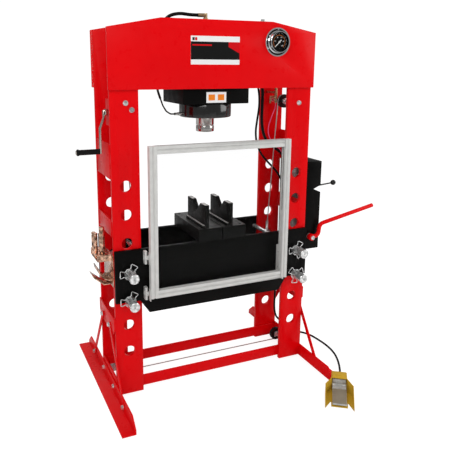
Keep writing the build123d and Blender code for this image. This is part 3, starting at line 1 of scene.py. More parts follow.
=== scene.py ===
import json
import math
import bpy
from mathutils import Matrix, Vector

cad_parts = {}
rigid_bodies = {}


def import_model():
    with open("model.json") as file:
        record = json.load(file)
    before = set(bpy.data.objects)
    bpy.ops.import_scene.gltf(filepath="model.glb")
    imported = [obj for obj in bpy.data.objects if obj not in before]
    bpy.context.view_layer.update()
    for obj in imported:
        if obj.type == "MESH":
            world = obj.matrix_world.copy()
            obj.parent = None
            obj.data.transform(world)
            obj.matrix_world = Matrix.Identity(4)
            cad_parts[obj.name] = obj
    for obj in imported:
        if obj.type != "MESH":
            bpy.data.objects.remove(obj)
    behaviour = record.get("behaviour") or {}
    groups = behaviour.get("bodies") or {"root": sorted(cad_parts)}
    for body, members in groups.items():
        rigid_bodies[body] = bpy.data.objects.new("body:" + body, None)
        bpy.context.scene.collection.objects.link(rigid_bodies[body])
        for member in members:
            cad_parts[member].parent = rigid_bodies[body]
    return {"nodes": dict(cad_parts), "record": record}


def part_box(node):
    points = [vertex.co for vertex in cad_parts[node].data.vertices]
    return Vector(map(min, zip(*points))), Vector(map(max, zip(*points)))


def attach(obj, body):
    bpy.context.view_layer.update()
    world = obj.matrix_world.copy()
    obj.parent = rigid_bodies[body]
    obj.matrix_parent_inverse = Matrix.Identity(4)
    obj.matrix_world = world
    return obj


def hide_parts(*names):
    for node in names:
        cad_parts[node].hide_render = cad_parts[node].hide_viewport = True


bl_info = {
    "name": "Hydraulic shop press",
    "version": (1, 0, 0),
    "blender": (4, 5, 0),
    "location": "3D View > Sidebar > Shop press",
    "description": "Finishes, fine details and a studio for the shop press frame",
    "category": "Object",
}

import bmesh
import bpy
from bpy.props import FloatProperty, FloatVectorProperty, IntProperty, PointerProperty
from mathutils import Matrix, Vector

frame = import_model()
NODES = frame["nodes"]
RECORD = frame["record"]
BODY_OF = {n: b for b, names in RECORD["behaviour"]["bodies"].items() for n in names}
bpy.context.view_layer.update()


def middle(node):
    """The middle of a CAD node's box."""
    low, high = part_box(node)
    return (low + high) / 2


RAM = middle("ram_rod")
AXIS = Vector((RAM.x, RAM.y, 0.0))


def at_ram(x, y, z):
    """A point given in mm from the foot of the ram axis."""
    return AXIS + Vector((x, y, z)) / 1000


# Places in mm from the foot of the ram axis

TIE_WELD_X = 560
TIE_WELD_Y = 137
TIE_WELDS_Z = ((872, 947), (1167, 1330))
HEAD_WELD_X = (424, 554)
HEAD_WELD_Y = 157
HEAD_WELD_Z = 1593.5
HINGE_ZS = (541, 732)
WEB_X = (-399, -395)
WEB_Y = (-217, -203)
WEB_RISE = (22.4, 43.6)
PEDAL_X = 513
PEDAL_Y = -612
GLAND_AHEAD = 133
GLAND_Z = 44
GLAND_LEAD = 34
HOSE_ROUTE = (
    (534, 84, 652), (534, 84, 620), (528, 84, 572), (524, 84, 510), (523, 85, 440), (525, 86, 370),
    (524, 88, 300), (524, 90, 240), (528, 91, 190), (541, 93, 150), (566, 94, 122), (602, 95, 96),
    (638, 95, 62), (676, 93, 30), (716, 84, 12), (748, 58, 8), (764, 14, 8), (773, -46, 7.5),
    (777, -112, 8), (773, -180, 7.5), (757, -246, 8), (730, -308, 8), (700, -362, 10),
    (669, -408, 16), (642, -446, 26))

# Sizes in metres

NO_EDGE = 0.0
FLAME_CUT_END = 0.012
PORT_REACH = 0.10
PORT_TOP = 1.60
TUBE_REACH = 0.172
# Radii of the dark bands painted on the chrome gauge case as shade and dark reflection
BEZEL_PAINTED_DARK_BANDS = ((0.0475, 0.0505), (0.0575, 0.0665))
HOSE_D = 0.012
TREADLE_PIVOT = (0, 0.050, 0.040)
TREAD_LEN = 0.098
TREAD_END_Y = -0.142
TREAD_TOP = 0.0072
RIB = (0.064, 0.0022, 0.0012)
DIAL_DEPTH = 0.002
MARK_T = 0.0003
NUMBER_H = 0.0085
NUMBER_T = 0.0001
MERGE_WITHIN = 2e-6

# Angles

PEDAL_TURN = math.radians(-35.2)
TREADLE_TILT = math.radians(9)
DIAL_START = math.radians(225)
DIAL_SWEEP = math.radians(270)
FLAT_WITHIN = math.radians(0.6)
EDGE_ANGLE = math.radians(40)

# Numbers on the dial, and their distance from its middle as a share of its radius

DIAL_TOP_NUMBER = 100
DIAL_NUMBER_STEP = 20
NUMBER_SHARE = 0.52


# Sizes and colours a user may change


class PressFinish(bpy.types.PropertyGroup):
    enamel: FloatVectorProperty(
        name="Frame enamel", description="Paint on posts, head, feet and braces", subtype="COLOR",
        size=3, min=0, max=1, default=(0.74, 0.0008, 0.003))
    black: FloatVectorProperty(
        name="Black paint", description="Paint on bed, saddle, cylinder and cabinet", subtype="COLOR",
        size=3, min=0, max=1, default=(0.0016, 0.0015, 0.0013))
    zinc: FloatVectorProperty(
        name="Zinc", description="Plated pins, bolts and clips", subtype="COLOR",
        size=3, min=0, max=1, default=(0.82, 0.84, 0.82))
    aluminium: FloatVectorProperty(
        name="Aluminium", description="Guard profiles", subtype="COLOR",
        size=3, min=0, max=1, default=(0.66, 0.66, 0.64))
    copper: FloatVectorProperty(
        name="Copper lacquer", description="Tool rack and press tools", subtype="COLOR",
        size=3, min=0, max=1, default=(0.80, 0.42, 0.29))
    yellow: FloatVectorProperty(
        name="Pedal yellow", description="Hood of the foot valve", subtype="COLOR",
        size=3, min=0, max=1, default=(0.62, 0.38, 0.03))


class PressSizes(bpy.types.PropertyGroup):
    plate_edge: FloatProperty(
        name="Plate edge", description="Round on the edges of painted plates", unit="LENGTH",
        default=0.0014, min=0.0002, max=0.004)
    fine_edge: FloatProperty(
        name="Fine edge", description="Round on the edges of small machined pieces", unit="LENGTH",
        default=0.0006, min=0.0001, max=0.002)
    weld_pitch: FloatProperty(
        name="Weld pitch", description="Distance from one drop of a weld to the next", unit="LENGTH",
        default=0.0034, min=0.002, max=0.01)
    weld_width: FloatProperty(
        name="Weld width", description="Width of a weld bead", unit="LENGTH",
        default=0.007, min=0.003, max=0.012)
    weld_seed: IntProperty(
        name="Weld seed", description="Picks how the drops of a weld differ", default=7, min=0)
    tread_pitch: FloatProperty(
        name="Tread pitch", description="Distance between the ribs of the foot pad", unit="LENGTH",
        default=0.0076, min=0.004, max=0.02)
    smooth_angle: FloatProperty(
        name="Smooth angle", description="Faces closer than this are shaded as one", unit="ROTATION",
        default=math.radians(32), min=0.1, max=1.2)


class PressView(bpy.types.PropertyGroup):
    camera_at: FloatVectorProperty(
        name="Camera place", description="From the point on the floor under the ram", unit="LENGTH",
        subtype="TRANSLATION", size=3, default=(-1.2285, -2.7940, 1.7172))
    camera_turn: FloatVectorProperty(
        name="Camera turn", description="Pitch up from straight down, roll and turn about the vertical",
        unit="ROTATION", subtype="EULER", size=3,
        default=(math.radians(78.10), math.radians(0.34), math.radians(-23.88)))
    focal: FloatProperty(name="Focal length", description="In mm on a 36 mm sensor", default=45.386, min=10)
    shift: FloatVectorProperty(name="Shift", description="Lens shift of the photograph", size=2,
                               default=(0.0421, -0.0927))


# Materials


class Shader:
    """A node material being built around one principled shader."""

    def __init__(self, name):
        self.material = bpy.data.materials.new(name)
        self.material.use_nodes = True
        self.tree = self.material.node_tree
        self.tree.nodes.clear()
        out = self.node("ShaderNodeOutputMaterial")
        self.bsdf = self.node("ShaderNodeBsdfPrincipled")
        self.link(self.bsdf.outputs[0], out.inputs[0])
        self.coords = self.node("ShaderNodeTexCoord").outputs["Object"]

    def node(self, kind, **settings):
        made = self.tree.nodes.new(kind)
        for key, value in settings.items():
            setattr(made, key, value)
        return made

    def link(self, a, b):
        self.tree.links.new(a, b)

    def set(self, **values):
        for name, value in values.items():
            self.bsdf.inputs[name.replace("_", " ")].default_value = value

    def stretched(self, scale):
        mapping = self.node("ShaderNodeMapping")
        mapping.inputs["Scale"].default_value = scale
        self.link(self.coords, mapping.inputs["Vector"])
        return mapping.outputs[0]

    def noise(self, scale, detail=3.0, stretch=(1, 1, 1), rough=0.5):
        tex = self.node("ShaderNodeTexNoise")
        tex.inputs["Scale"].default_value = scale
        tex.inputs["Detail"].default_value = detail
        tex.inputs["Roughness"].default_value = rough
        self.link(self.stretched(stretch), tex.inputs["Vector"])
        return tex.outputs["Fac"]

    def axis(self, name):
        split = self.node("ShaderNodeSeparateXYZ")
        self.link(self.coords, split.inputs[0])
        return split.outputs[name]

    def remap(self, value, a, b, low, high):
        node = self.node("ShaderNodeMapRange")
        for socket, number in zip(("From Min", "From Max", "To Min", "To Max"), (a, b, low, high)):
            node.inputs[socket].default_value = number
        self.link(value, node.inputs["Value"])
        return node.outputs["Result"]

    def math(self, kind, a, b=None):
        node = self.node("ShaderNodeMath", operation=kind)
        for socket, value in zip(node.inputs, (a, b)):
            if isinstance(value, (int, float)):
                socket.default_value = value
            elif value is not None:
                self.link(value, socket)
        return node.outputs[0]

    def mix(self, fac, a, b):
        node = self.node("ShaderNodeMix", data_type="RGBA")
        for socket, value in ((node.inputs[0], fac), (node.inputs[6], a), (node.inputs[7], b)):
            if isinstance(value, (int, float)):
                socket.default_value = value
            elif isinstance(value, (tuple, list)):
                socket.default_value = (*value[:3], 1.0)
            else:
                self.link(value, socket)
        return node.outputs[2]

    def colour(self, value):
        self.link(value, self.bsdf.inputs["Base Color"])

    def roughness(self, value):
        self.link(value, self.bsdf.inputs["Roughness"])

    def bump(self, height, strength, distance):
        node = self.node("ShaderNodeBump")
        node.inputs["Strength"].default_value = strength
        node.inputs["Distance"].default_value = distance
        self.link(height, node.inputs["Height"])
        if self.bsdf.inputs["Normal"].links:
            self.link(self.bsdf.inputs["Normal"].links[0].from_socket, node.inputs["Normal"])
        self.link(node.outputs[0], self.bsdf.inputs["Normal"])


def tone(colour, k):
    """The colour, darker or lighter by a factor."""
    return tuple(min(1.0, c * k) for c in colour)


def enamel(name, colour, rough=0.30, chips=0.0, shine=0.08):
    """Sprayed gloss paint: orange peel, slow change of tone and chips on edges."""
    s = Shader(name)
    slow = s.noise(3.0, 4.0)
    base = s.mix(s.remap(slow, 0.3, 0.7, 0, 1), tone(colour, 0.93), tone(colour, 1.05))
    if chips:
        worn = s.remap(s.noise(160, 4.0), 0.62 - chips, 0.66 - chips, 0, 1)
        base = s.mix(worn, base, (0.20, 0.16, 0.14))
    s.colour(base)
    s.roughness(s.remap(s.noise(24, 5.0), 0.3, 0.75, rough * 0.8, rough * 1.5))
    s.bump(s.noise(420, 2.0), 0.05, 0.0006)
    s.bump(s.noise(14, 3.0), 0.04, 0.002)
    s.set(Coat_Weight=shine * 0.4, Coat_Roughness=0.15, Specular_IOR_Level=shine)
    return s.material


def flame_cut(name, colour, end_x):
    """The same paint over a rough flame cut end, with pale specks where it has flaked."""
    s = Shader(name)
    base = s.mix(s.remap(s.noise(3.0, 4.0), 0.3, 0.7, 0, 1), tone(colour, 0.93), tone(colour, 1.05))
    near_end = s.math("LESS_THAN", s.axis("X"), end_x)
    specks = s.remap(s.noise(230, 3.0), 0.56, 0.62, 0, 0.75)
    s.colour(s.mix(s.math("MULTIPLY", near_end, specks), base, (0.85, 0.50, 0.46)))
    s.roughness(s.remap(s.noise(24, 5.0), 0.3, 0.75, 0.24, 0.45))
    s.bump(s.noise(90, 3.0), 0.5, 0.002)
    s.set(Specular_IOR_Level=0.08)
    return s.material


def plated(name, colour, rough=0.28, grain=(1, 1, 1), metal=1.0, mottle=0.18, cloud=30):
    """Plated or machined metal with a fine grain along one direction and clouds in its tone; a strong
    mottle also paints highlights and shade at random.
    """
    s = Shader(name)
    slow = s.remap(s.noise(cloud, 4.0), 0.35, 0.65, 0, 1)
    s.colour(s.mix(slow, tone(colour, 1 - mottle), tone(colour, 1 + mottle / 2)))
    s.roughness(s.remap(s.noise(90, 4.0, grain), 0.3, 0.7, rough * 0.75, rough * 1.3))
    s.bump(s.noise(700, 2.0, grain), 0.06, 0.0004)
    s.set(Metallic=metal)
    return s.material


def ringed(name, centre, rings):
    """Chrome with painted shade and dark reflections: it turns dark between each pair of radii round a line
    along y.
    """
    s = Shader(name)
    dx = s.math("SUBTRACT", s.axis("X"), centre.x)
    dz = s.math("SUBTRACT", s.axis("Z"), centre.z)
    far = s.math("SQRT", s.math("ADD", s.math("MULTIPLY", dx, dx), s.math("MULTIPLY", dz, dz)))
    colour = s.mix(s.noise(40), (0.74, 0.75, 0.76), (0.86, 0.86, 0.86))
    for inner, outer in rings:
        band = s.math("MULTIPLY", s.math("GREATER_THAN", far, inner), s.math("LESS_THAN", far, outer))
        # Each band paints shade and dark reflection onto the chrome
        colour = s.mix(band, colour, (0.03, 0.03, 0.03))
    s.colour(colour)
    s.roughness(s.remap(s.noise(90), 0.3, 0.7, 0.08, 0.16))
    s.set(Metallic=1.0)
    return s.material


def fitting_metal(name):
    """Brass, but plated steel at the cylinder's port and black on the tube that bends up from it."""
    s = Shader(name)
    x, z = s.axis("X"), s.axis("Z")
    brass = s.mix(s.noise(30, 4.0), (0.42, 0.29, 0.15), (0.62, 0.46, 0.27))
    port = s.math("MULTIPLY", s.math("LESS_THAN", x, RAM.x - PORT_REACH), s.math("LESS_THAN", z, PORT_TOP))
    tube = s.math("MULTIPLY", s.math("LESS_THAN", x, RAM.x - TUBE_REACH), port)
    s.colour(s.mix(tube, s.mix(port, brass, (0.60, 0.60, 0.58)), (0.025, 0.018, 0.012)))
    s.roughness(s.remap(s.noise(90), 0.3, 0.7, 0.22, 0.36))
    s.set(Metallic=0.85)
    return s.material


def rubber(name, colour, rough=0.55, scale=900, shine=0.2):
    """Rubber or plastic with a fine grain and a slightly uneven tone."""
    s = Shader(name)
    s.colour(s.mix(s.noise(12, 4.0), tone(colour, 0.8), tone(colour, 1.5)))
    s.roughness(s.remap(s.noise(60, 3.0), 0.3, 0.7, rough * 0.85, rough * 1.15))
    s.bump(s.noise(scale, 2.0), 0.12, 0.0004)
    s.set(Specular_IOR_Level=shine)
    return s.material


def clear_sheet(name, alpha=0.03, shine=0.2):
    """Clear plastic or glass that shows little more than its shine."""
    s = Shader(name)
    s.colour(s.mix(s.noise(2.0), (0.02, 0.022, 0.022), (0.03, 0.032, 0.032)))
    s.roughness(s.remap(s.noise(40, 3.0), 0.3, 0.7, 0.04, 0.07))
    s.set(Alpha=alpha, Specular_IOR_Level=shine)
    s.material.surface_render_method = "BLENDED"
    return s.material


# Shapes


def new_object(name, data):
    """An object at the origin, in the scene."""
    obj = bpy.data.objects.new(name, data)
    bpy.context.scene.collection.objects.link(obj)
    return obj


def bake(obj):
    """Turn an object's modifiers into a plain mesh."""
    depsgraph = bpy.context.evaluated_depsgraph_get()
    mesh = bpy.data.meshes.new_from_object(obj.evaluated_get(depsgraph))
    old = obj.data
    obj.modifiers.clear()
    obj.data = mesh
    mesh.name = old.name
    bpy.data.meshes.remove(old)


def smooth_copy(node, edge, angle, edge_slot=False):
    """A merged copy of a CAD node with rounded edges and smooth round faces, shown in its place."""
    mesh = NODES[node].data.copy()
    mesh.name = node + "_mesh"
    bm = bmesh.new()
    bm.from_mesh(mesh)
    bmesh.ops.remove_doubles(bm, verts=bm.verts, dist=MERGE_WITHIN)
    bmesh.ops.dissolve_limit(bm, angle_limit=FLAT_WITHIN, verts=bm.verts, edges=bm.edges)
    bm.to_mesh(mesh)
    bm.free()
    mesh.materials.clear()
    obj = new_object(node + "_finish", mesh)
    if edge:
        bevel = obj.modifiers.new("edge", "BEVEL")
        bevel.width = edge
        bevel.segments = 2
        bevel.limit_method = "ANGLE"
        bevel.angle_limit = EDGE_ANGLE
        bevel.miter_outer = "MITER_ARC"
        if edge_slot:
            bevel.material = 1
        bake(obj)
    obj.data.shade_smooth()
    obj.data.set_sharp_from_angle(angle=angle)
    return obj


def worked_faces(obj, slot, way, least=0.9):
    """Give the faces that look one way their own material slot, which paints light on them."""
    way = Vector(way)
    for face in obj.data.polygons:
        if face.normal.dot(way) > least:
            face.material_index = slot


def bent_line(points, share=0.45, steps=8):
    """The run through the points with a round bend at each corner."""
    points = [Vector(p) for p in points]
    line = [points[0]]
    for a, b, c in zip(points, points[1:], points[2:]):
        u, v = b - a, c - b
        half = u.angle(v) / 2
        reach = share * min(u.length, v.length)
        radius = reach / math.tan(half)
        u.normalize()
        v.normalize()
        start = b - u * reach
        centre = start + (v - u * u.dot(v)).normalized() * radius
        pole = u.cross(v).normalized()
        for k in range(steps + 1):
            turn = Matrix.Rotation(2 * half * k / steps, 3, pole)
            line.append(centre + turn @ (start - centre))
    line.append(points[-1])
    return line


class Tree:
    """A Geometry Nodes tree being built, with named inputs."""

    def __init__(self, name, inputs):
        self.group = bpy.data.node_groups.new(name, "GeometryNodeTree")
        face = self.group.interface
        face.new_socket("Geometry", in_out="OUTPUT", socket_type="NodeSocketGeometry")
        face.new_socket("Geometry", in_out="INPUT", socket_type="NodeSocketGeometry")
        self.ids = {}
        for label, kind in inputs:
            socket = face.new_socket(label, in_out="INPUT", socket_type="NodeSocket" + kind)
            self.ids[label] = socket.identifier
        self.inlet = self.node("NodeGroupInput")
        self.outlet = self.node("NodeGroupOutput")

    def node(self, kind, links=None, **settings):
        made = self.group.nodes.new(kind)
        for key, value in settings.items():
            setattr(made, key, value)
        for socket, value in (links or {}).items():
            if isinstance(value, bpy.types.NodeSocket):
                self.group.links.new(value, made.inputs[socket])
            else:
                made.inputs[socket].default_value = value
        return made

    def take(self, label):
        return self.inlet.outputs[label]

    def math(self, kind, a, b):
        return self.node("ShaderNodeMath", {0: a, 1: b}, operation=kind).outputs[0]

    def finish(self, geometry):
        """Realize what was made and give it the material that is an input of every tree."""
        real = self.node("GeometryNodeRealizeInstances", {0: geometry}).outputs[0]
        smooth = self.node("GeometryNodeSetShadeSmooth", {0: real}).outputs[0]
        done = self.node("GeometryNodeSetMaterial", {"Geometry": smooth, "Material": self.take("Material")})
        self.group.links.new(done.outputs[0], self.outlet.inputs[0])

    def grow(self, name, mesh, values):
        """Run the tree on a mesh with these input values and keep the result as a plain mesh."""
        obj = new_object(name, mesh)
        modifier = obj.modifiers.new(self.group.name, "NODES")
        modifier.node_group = self.group
        for label, value in values.items():
            modifier[self.ids[label]] = value
        bake(obj)
        return obj


def weld_tree():
    """Overlapping drops along every edge of a guide mesh, as a weld bead is laid."""
    tree = Tree("weld_bead", (("Pitch", "Float"), ("Width", "Float"), ("Seed", "Int"),
                              ("Material", "Material")))
    seam = tree.node("GeometryNodeMeshToCurve", {0: tree.inlet.outputs[0]}).outputs[0]
    points = tree.node("GeometryNodeResampleCurve", {"Curve": seam, "Length": tree.take("Pitch")},
                       mode="LENGTH")
    radius = tree.math("MULTIPLY", tree.take("Width"), 0.5)
    drop = tree.node("GeometryNodeMeshUVSphere", {"Segments": 8, "Rings": 5, "Radius": radius}).outputs[0]
    size = tree.node("FunctionNodeRandomValue", {"Min": (0.8, 0.8, 0.8), "Max": (1.15, 1.15, 1.15),
                                                 "Seed": tree.take("Seed")}, data_type="FLOAT_VECTOR")
    beads = tree.node("GeometryNodeInstanceOnPoints", {"Points": points.outputs[0], "Instance": drop,
                                                       "Scale": size.outputs[0]})
    tree.finish(beads.outputs[0])
    return tree


def fan_tree():
    """Upright bars on an arc round the object's own y axis, such as the marks of a dial."""
    tree = Tree("dial_marks", (("Count", "Int"), ("Radius", "Float"), ("Start", "Float"),
                               ("Sweep", "Float"), ("Size", "Vector"), ("Material", "Material")))
    points = tree.node("GeometryNodePoints", {"Count": tree.take("Count")}).outputs[0]
    last = tree.math("SUBTRACT", tree.take("Count"), 1.0)
    share = tree.math("DIVIDE", tree.node("GeometryNodeInputIndex").outputs[0], last)
    angle = tree.math("SUBTRACT", tree.take("Start"), tree.math("MULTIPLY", share, tree.take("Sweep")))
    x = tree.math("MULTIPLY", tree.math("COSINE", angle, 0.0), tree.take("Radius"))
    z = tree.math("MULTIPLY", tree.math("SINE", angle, 0.0), tree.take("Radius"))
    place = tree.node("ShaderNodeCombineXYZ", {"X": x, "Z": z}).outputs[0]
    placed = tree.node("GeometryNodeSetPosition", {"Geometry": points, "Position": place}).outputs[0]
    turn = tree.node("ShaderNodeCombineXYZ", {"Y": tree.math("MULTIPLY", angle, -1.0)}).outputs[0]
    bar = tree.node("GeometryNodeMeshCube", {"Size": tree.take("Size")}).outputs[0]
    marks = tree.node("GeometryNodeInstanceOnPoints", {"Points": placed, "Instance": bar, "Rotation": turn})
    tree.finish(marks.outputs[0])
    return tree


def row_tree():
    """Equal bars at every vertex of a guide mesh, such as the ribs of a tread."""
    tree = Tree("row_of_bars", (("Size", "Vector"), ("Turn", "Vector"), ("Material", "Material")))
    points = tree.node("GeometryNodeMeshToPoints", {"Mesh": tree.inlet.outputs[0]}).outputs[0]
    bar = tree.node("GeometryNodeMeshCube", {"Size": tree.take("Size")}).outputs[0]
    row = tree.node("GeometryNodeInstanceOnPoints", {"Points": points, "Instance": bar,
                                                     "Rotation": tree.take("Turn")})
    tree.finish(row.outputs[0])
    return tree


def guide(name, lines):
    """A mesh of loose lines, each a list of points."""
    mesh = bpy.data.meshes.new(name)
    points = [p for line in lines for p in line]
    edges = []
    start = 0
    for line in lines:
        edges += [(start + k, start + k + 1) for k in range(len(line) - 1)]
        start += len(line)
    mesh.from_pydata([tuple(p) for p in points], edges, [])
    return mesh


def shifted(obj, at):
    """Move a mesh's own points, so that the object itself stays at the origin."""
    obj.data.transform(Matrix.Translation(Vector(at)))
    return obj


def add_on(obj, node):
    """A fine piece that goes with a CAD node's body."""
    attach(obj, BODY_OF[node])
    return obj


def finish_node(node, edge, materials):
    """Put a finished copy of a CAD node on its body, with its materials."""
    sizes = bpy.context.scene.press_sizes
    obj = smooth_copy(node, edge, sizes.smooth_angle, len(materials) > 1)
    if len(obj.data.materials) == 0:
        for material in materials:
            obj.data.materials.append(material)
    else:
        for k, material in enumerate(materials):
            obj.data.materials[k] = material
    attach(obj, BODY_OF[node])
    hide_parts(node)
    return obj


def finish_nodes(nodes, edge, *materials):
    """Finish several CAD nodes in the same way."""
    for node in nodes:
        finish_node(node, edge, materials)


# Pieces


def frame_seams():
    """Lines of the welds: ties to uprights on the outside, and head plates to uprights below."""
    lines = []
    for side in (-1, 1):
        for y in (-TIE_WELD_Y, TIE_WELD_Y):
            lines += [[at_ram(side * TIE_WELD_X, y, z) for z in weld] for weld in TIE_WELDS_Z]
        for y in (-HEAD_WELD_Y, HEAD_WELD_Y):
            lines.append([at_ram(side * x, y, HEAD_WELD_Z) for x in HEAD_WELD_X])
    return lines


def hinge_webs(material):
    """Small web behind each guard hinge leaf that carries its knuckle."""
    faces = [(0, 1, 3, 2), (4, 6, 7, 5), (0, 4, 5, 1), (2, 3, 7, 6), (0, 2, 6, 4), (1, 5, 7, 3)]
    for k, z in enumerate(HINGE_ZS):
        corners = [at_ram(x, y, z + rise) for x in WEB_X for y in WEB_Y for rise in WEB_RISE]
        mesh = bpy.data.meshes.new("hinge_web")
        mesh.from_pydata([tuple(c) for c in corners], [], faces)
        mesh.materials.append(material)
        add_on(new_object("hinge_web_" + str(k + 1), mesh), "guard_frame")


def foot_hose(material):
    """The air hose from the cabinet down the post and over the floor to the foot valve."""
    out = Vector((-math.sin(PEDAL_TURN), math.cos(PEDAL_TURN), 0))
    port = Vector((PEDAL_X, PEDAL_Y, GLAND_Z)) + out * GLAND_AHEAD
    route = [*HOSE_ROUTE, port + out * GLAND_LEAD, port]
    line = bent_line([at_ram(*p) for p in route])
    curve = bpy.data.curves.new("foot_hose_line", "CURVE")
    curve.dimensions = "3D"
    curve.bevel_depth = HOSE_D / 2
    curve.bevel_resolution = 4
    curve.use_fill_caps = True
    spline = curve.splines.new("POLY")
    spline.points.add(len(line) - 1)
    for point, place_at in zip(spline.points, line):
        point.co = (*place_at, 1.0)
    obj = new_object("foot_hose_finish", curve)
    curve.materials.append(material)
    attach(obj, BODY_OF["foot_hose"])
    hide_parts("foot_hose")


def tread_ribs(material):
    """Cross ribs on the foot pad, in the tilted frame of the treadle."""
    pitch = bpy.context.scene.press_sizes.tread_pitch
    set_down = (Matrix.Translation(at_ram(PEDAL_X, PEDAL_Y, 0)) @ Matrix.Rotation(PEDAL_TURN, 4, "Z")
                @ Matrix.Translation(TREADLE_PIVOT) @ Matrix.Rotation(TREADLE_TILT, 4, "X"))
    count = int(TREAD_LEN / pitch)
    rows = [[(0, TREAD_END_Y + k * pitch, TREAD_TOP)] for k in range(count + 1)]
    ribs = row_tree().grow("pad_ribs", guide("pad_rows", rows), {
        "Size": RIB, "Turn": (0, 0, 0), "Material": material})
    ribs.data.transform(set_down)
    add_on(ribs, "pedal_pad")


def dial_number(value, material, at):
    """A thin plain number that faces the front, with its middle at a point."""
    name = "dial_number_" + str(value // DIAL_NUMBER_STEP)
    text = bpy.data.curves.new("dial_number", "FONT")
    text.body = str(value)
    text.size = NUMBER_H
    text.align_x = text.align_y = "CENTER"
    text.extrude = NUMBER_T
    lettered = new_object(name, text)
    mesh = bpy.data.meshes.new_from_object(lettered)
    bpy.data.objects.remove(lettered)
    mesh.transform(Matrix.Rotation(math.radians(90), 4, "X"))
    mesh.materials.append(material)
    add_on(shifted(new_object(name, mesh), at), "gauge_dial")


def gauge_face():
    """Marks, plain numbers and a coloured arc on the gauge's dial."""
    low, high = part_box("gauge_dial")
    face = Vector(((low.x + high.x) / 2, high.y - DIAL_DEPTH - MARK_T / 2, (low.z + high.z) / 2))
    radius = (high.x - low.x) / 2
    white = rubber("dial_white", (0.75, 0.75, 0.72), rough=0.5)
    amber = rubber("dial_amber", (0.60, 0.18, 0.05), rough=0.5)
    rows = (("marks", 51, 0.90, (0.0022, MARK_T, 0.0004), white),
            ("steps", 11, 0.87, (0.0050, MARK_T, 0.0009), white),
            ("arc", 120, 0.70, (0.0046, MARK_T, 0.0022), amber))
    fan = fan_tree()
    for name, count, share, size, material in rows:
        marks = fan.grow("dial_" + name, guide("dial_centre", []), {
            "Count": count, "Radius": radius * share, "Start": DIAL_START, "Sweep": DIAL_SWEEP,
            "Size": size, "Material": material})
        add_on(shifted(marks, face), "gauge_dial")
    for value in range(0, DIAL_TOP_NUMBER + 1, DIAL_NUMBER_STEP):
        angle = DIAL_START - DIAL_SWEEP * value / DIAL_TOP_NUMBER
        away = Vector((math.cos(angle), 0, math.sin(angle))) * radius * NUMBER_SHARE
        dial_number(value, white, face + away)


def label_sheet(name):
    """Plain colour fields: a black field, a red corner, small blocks and two orange squares."""
    low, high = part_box("label_plates")
    s = Shader(name)
    x, z = s.axis("X"), s.axis("Z")
    left, right, top, bottom = low.x, high.x, high.z, low.z
    black, red, orange = (0.02, 0.02, 0.02), (0.60, 0.004, 0.008), (0.80, 0.22, 0.02)

    def field(x0, x1, z0, z1):
        inside = s.math("MULTIPLY", s.math("GREATER_THAN", x, x0), s.math("LESS_THAN", x, x1))
        across = s.math("MULTIPLY", s.math("GREATER_THAN", z, z0), s.math("LESS_THAN", z, z1))
        return s.math("MULTIPLY", inside, across)

    paper = s.mix(s.noise(8), (0.78, 0.78, 0.78), (0.84, 0.84, 0.84))
    ink = s.mix(field(left, right, top - 0.113, top - 0.027), paper, (0.008, 0.008, 0.008))
    slope = s.math("ADD", s.math("MULTIPLY", x, 0.5), z)
    corner = s.math("GREATER_THAN", slope, 0.5 * (right - 0.060) + top - 0.052)
    corner = s.math("MULTIPLY", corner, field(right - 0.062, right, top - 0.095, top - 0.027))
    ink = s.mix(corner, ink, red)
    sign = (right + left) / 2 + 0.017
    blocks = ((left + 0.008, left + 0.020, top - 0.022, top - 0.007, black),
              (left + 0.022, left + 0.034, top - 0.022, top - 0.007, red),
              (left + 0.008, left + 0.112, top - 0.047, top - 0.040, red),
              (sign - 0.044, sign - 0.008, bottom + 0.012, bottom + 0.042, orange),
              (sign + 0.008, sign + 0.044, bottom + 0.012, bottom + 0.042, orange))
    for x0, x1, z0, z1, colour in blocks:
        ink = s.mix(field(x0, x1, z0, z1), ink, colour)
    s.colour(ink)
    s.roughness(s.remap(s.noise(40), 0.3, 0.7, 0.3, 0.42))
    s.set(Specular_IOR_Level=0.1)
    return s.material


class PRESS_OT_frame(bpy.types.Operator):
    """Red enamel on the posts, the head, the feet and the braces"""

    bl_idname = "press.frame"
    bl_label = "Painted frame"

    def execute(self, context):
        look = context.scene.press_finish
        sizes = context.scene.press_sizes
        red = enamel("frame_enamel", look.enamel)
        edge = enamel("frame_enamel_edge", look.enamel, rough=0.25, chips=0.04)
        cut_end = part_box("head_rear_plate")[0].x + FLAME_CUT_END
        cut = flame_cut("frame_flame_cut", look.enamel, cut_end)
        finish_node("head_rear_plate", sizes.plate_edge, (cut, cut))
        finish_nodes(("head_front_plate", "head_cheeks", "uprights_left", "uprights_right", "post_ties",
                      "floor_rails", "feet", "braces", "pump_handle"), sizes.plate_edge, red, edge)
        finish_node("winch_frame", sizes.plate_edge, (red, edge))
        beads = weld_tree().grow("frame_welds", guide("frame_seams", frame_seams()), {
            "Pitch": sizes.weld_pitch, "Width": sizes.weld_width, "Seed": sizes.weld_seed,
            "Material": red})
        add_on(beads, "post_ties")
        return {"FINISHED"}


class PRESS_OT_black(bpy.types.Operator):
    """Black paint on the bed, the saddle, the cylinder, the winch drum and the cabinet"""

    bl_idname = "press.black"
    bl_label = "Black pieces"

    def execute(self, context):
        look = context.scene.press_finish
        sizes = context.scene.press_sizes
        black = enamel("black_enamel", look.black, rough=0.42, shine=0.07)
        edge = enamel("black_enamel_edge", tone(look.black, 3.0), rough=0.3, chips=0.02, shine=0.3)
        gloss = enamel("black_gloss", look.black, rough=0.10, shine=0.7)
        finish_node("cylinder", sizes.plate_edge, (gloss, edge))
        finish_nodes(("saddle", "winch_drum", "bed_front_plate", "bed_rear_plate", "bed_spacers",
                      "cabinet"), sizes.plate_edge, black, edge)
        return {"FINISHED"}


